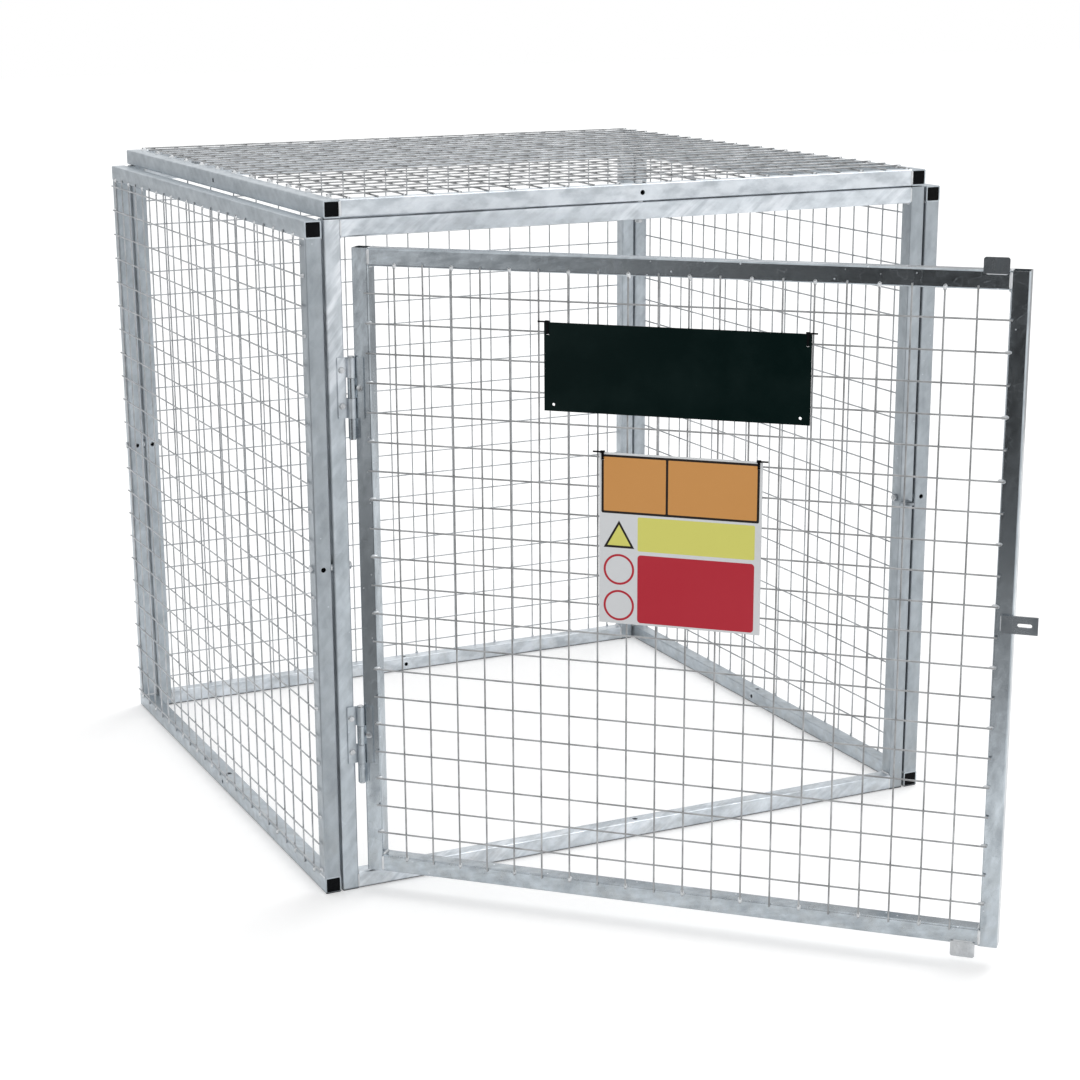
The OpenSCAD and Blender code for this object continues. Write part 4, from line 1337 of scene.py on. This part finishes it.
class CAGE_OT_stage(bpy.types.Operator):
    """Pale floor, soft studio light, grey cards for the reflections and the camera"""

    bl_idname = "cage.stage"
    bl_label = "Stage"

    def execute(self, context):
        look = settings().stage
        self.floor()
        self.cards()
        self.lamps(look)
        self.world(look)
        self.camera(look)
        bpy.context.scene.view_settings.view_transform = "Standard"
        return {"FINISHED"}

    def floor(self):
        clear_selection()
        bpy.ops.mesh.primitive_plane_add(size=60, location=(0, 0, -0.0005))
        floor = bpy.context.active_object
        floor.name = "studio_floor"
        made, s = bare_material("Pale floor")
        lit = s.node("ShaderNodeBsdfDiffuse", {"Color": (0.80, 0.80, 0.80, 1)})
        glow = s.node("ShaderNodeEmission", {"Color": WHITE, "Strength": s.times(s.shows(), 0.29)})
        both = s.node("ShaderNodeAddShader", {0: lit.outputs[0], 1: glow.outputs[0]})
        s.node("ShaderNodeOutputMaterial", {"Surface": both.outputs[0]})
        floor.data.materials.append(made)

    def cards(self):
        """Grey cards that only reflections see, as a photographer sets them."""
        for name, start, end, foot, top, level in (
            ("rear_card", (-4.8, 5.2), (-0.9, 5.2), 0.0, 3.2, 0.60),
            ("right_card", (3.6, 5.0), (3.6, -0.6), 0.0, 3.0, 0.55),
        ):
            run = Vector((end[0] - start[0], end[1] - start[1], 0))
            middle = Vector(((start[0] + end[0]) / 2, (start[1] + end[1]) / 2, (foot + top) / 2))
            lay = axes(run.normalized(), Z, run.normalized().cross(Z), middle)
            s, shine = self.card(name, lay @ Matrix.Diagonal((run.length, top - foot, 1, 1)))
            shine.inputs["Strength"].default_value = level

        # The door mirrors the floor and the wall before it: dark far off to the right, lighter to the
        # left and close by. Both cards are graded round the camera's mirror image behind the door
        image_at = Vector((2.94, 1.46, 0.012))
        toward = Vector((-0.848, -0.530, 0))
        aside = Vector((0.530, -0.848, 0))
        floor = axes(toward, aside, Z, image_at + toward * 9.0)
        self.graded_card("floor_card", floor @ Matrix.Diagonal((9.4, 9.0, 1, 1)), image_at)
        wall = axes(aside, Z, toward, image_at + toward * 13.6 + Z * 1.6)
        self.graded_card("wall_card", wall @ Matrix.Diagonal((10.5, 3.2, 1, 1)), image_at)

    def graded_card(self, name, shape, image_at):
        """A card whose level follows the bearing and the distance from a point."""
        s, shine = self.card(name, shape)
        place = s.apart(s.node("ShaderNodeTexCoord").outputs["Object"])
        dx, dy = s.minus(image_at.x, place[0]), s.minus(image_at.y, place[1])
        bearing = s.math("ARCTAN2", dy, dx)
        away = s.distance(dx, dy)
        left = s.span(bearing, math.radians(38.5), math.radians(23.0))
        lit = s.times(s.math("POWER", left, 2.2), s.span(away, 6.0, 12.0, 0.22, 1.0))
        far_left = s.times(s.span(bearing, math.radians(27.0), math.radians(23.0)), 0.20)
        lit = s.plus(s.times(lit, s.plus(far_left, 1.04)), 0.03)
        near = s.span(s.plus(away, s.times(left, 1.4)), 6.3, 4.6)
        near = s.math("MAXIMUM", near, s.span(bearing, math.radians(44.0), math.radians(49.0)))
        s.feed(shine.inputs["Strength"], s.plus(s.times(lit, s.minus(1.0, near)), s.times(near, 0.88)))

    def card(self, name, shape):
        """A sheet of light that neither the camera nor soft light sees."""
        clear_selection()
        bpy.ops.mesh.primitive_plane_add(size=1, location=(0, 0, 0))
        card = started(name)
        card.data.transform(shape)
        made, s = bare_material(name)
        shine = s.node("ShaderNodeEmission", {"Color": WHITE})
        s.node("ShaderNodeOutputMaterial", {"Surface": shine.outputs[0]})
        card.data.materials.append(made)
        card.visible_camera = card.visible_diffuse = card.visible_shadow = False
        card.visible_transmission = card.visible_volume_scatter = False
        return s, shine

    def lamps(self, look):
        key = bpy.data.lights.new("key", "SUN")
        key.energy, key.angle = look.key_strength, look.key_softness
        fill = bpy.data.lights.new("fill", "AREA")
        fill.shape, fill.size, fill.size_y, fill.energy = "RECTANGLE", 2.4, 2.4, look.fill_power
        for lamp, place, target in (
            (key, (3.0, 1.6, 5.6), (0, 0.4, 0.5)),
            (fill, (-4.2, -4.4, 2.6), (0, 0.2, 0.6)),
        ):
            made = bpy.data.objects.new(lamp.name, lamp)
            bpy.context.scene.collection.objects.link(made)
            made.location = place
            made.rotation_euler = (Vector(target) - Vector(place)).to_track_quat("-Z", "Y").to_euler()
            made.visible_glossy = lamp is key

    def world(self, look):
        world = bpy.data.worlds.new("White studio")
        world.use_nodes = True
        world.node_tree.nodes.clear()
        s = Sheet(world.node_tree)
        strength = s.span(s.shows(), 0.0, 1.0, look.ambient, 1.0)
        glow = s.node("ShaderNodeBackground", {"Color": WHITE, "Strength": strength})
        s.node("ShaderNodeOutputWorld", {"Surface": glow.outputs[0]})
        bpy.context.scene.world = world

    def camera(self, look):
        """The camera looks along -back, turned from the front, tipped down and a little rolled."""
        turn, tip, roll = math.radians(-25.186), math.radians(15.22), math.radians(-0.379)
        place = Vector((-1.90188, -3.58829, 1.61378))
        back = Vector((math.sin(turn) * math.cos(tip), -math.cos(turn) * math.cos(tip), math.sin(tip)))
        right = Z.cross(back).normalized()
        up = back.cross(right)
        across = right * math.cos(roll) + up * math.sin(roll)
        upward = up * math.cos(roll) - right * math.sin(roll)
        data = bpy.data.cameras.new("Studio camera")
        data.sensor_width, data.lens = 36.0, look.lens
        data.shift_x, data.shift_y = 0.00752, 0.03425
        made = bpy.data.objects.new("Studio camera", data)
        bpy.context.scene.collection.objects.link(made)
        made.matrix_world = axes(across, upward, back, place)
        bpy.context.scene.camera = made


class CAGE_PT_panel(bpy.types.Panel):
    """Lists the steps that dress the cage"""

    bl_idname = "CAGE_PT_panel"
    bl_label = "Gas Cylinder Cage"
    bl_space_type = "VIEW_3D"
    bl_region_type = "UI"
    bl_category = "Cage"

    def draw(self, context):
        look = context.scene.cage_look
        for group, steps in (
            (look.tubes, (CAGE_OT_tube_finish, CAGE_OT_net_finish)),
            (look.welds, (CAGE_OT_frame_welds, CAGE_OT_door_welds, CAGE_OT_wire_welds)),
            (look.fittings, (CAGE_OT_fitting_finish, CAGE_OT_fixings, CAGE_OT_end_plugs)),
            (look.boards, (CAGE_OT_board_finish,)),
            (look.stage, (CAGE_OT_stage,)),
        ):
            box = self.layout.box()
            for name in group.bl_rna.properties.keys():
                if name not in {"rna_type", "name"}:
                    box.prop(group, name)
            for step in steps:
                box.operator(step.bl_idname)


STEPS = (
    CAGE_OT_tube_finish,
    CAGE_OT_frame_welds,
    CAGE_OT_door_welds,
    CAGE_OT_fitting_finish,
    CAGE_OT_fixings,
    CAGE_OT_end_plugs,
    CAGE_OT_board_finish,
    CAGE_OT_net_finish,
    CAGE_OT_wire_welds,
    CAGE_OT_stage,
)
GROUPS = (
    CageTubeSettings, CageWeldSettings, CageFittingSettings, CageBoardSettings, CageStageSettings, CageLook,
)


def register():
    for made in (*GROUPS, *STEPS, CAGE_PT_panel):
        bpy.utils.register_class(made)
    bpy.types.Scene.cage_look = PointerProperty(type=CageLook)


def unregister():
    del bpy.types.Scene.cage_look
    for made in reversed((*GROUPS, *STEPS, CAGE_PT_panel)):
        bpy.utils.unregister_class(made)


def main():
    register()
    for step in STEPS:
        family, name = step.bl_idname.split(".")
        getattr(getattr(bpy.ops, family), name)()


if __name__ == "__main__":
    main()
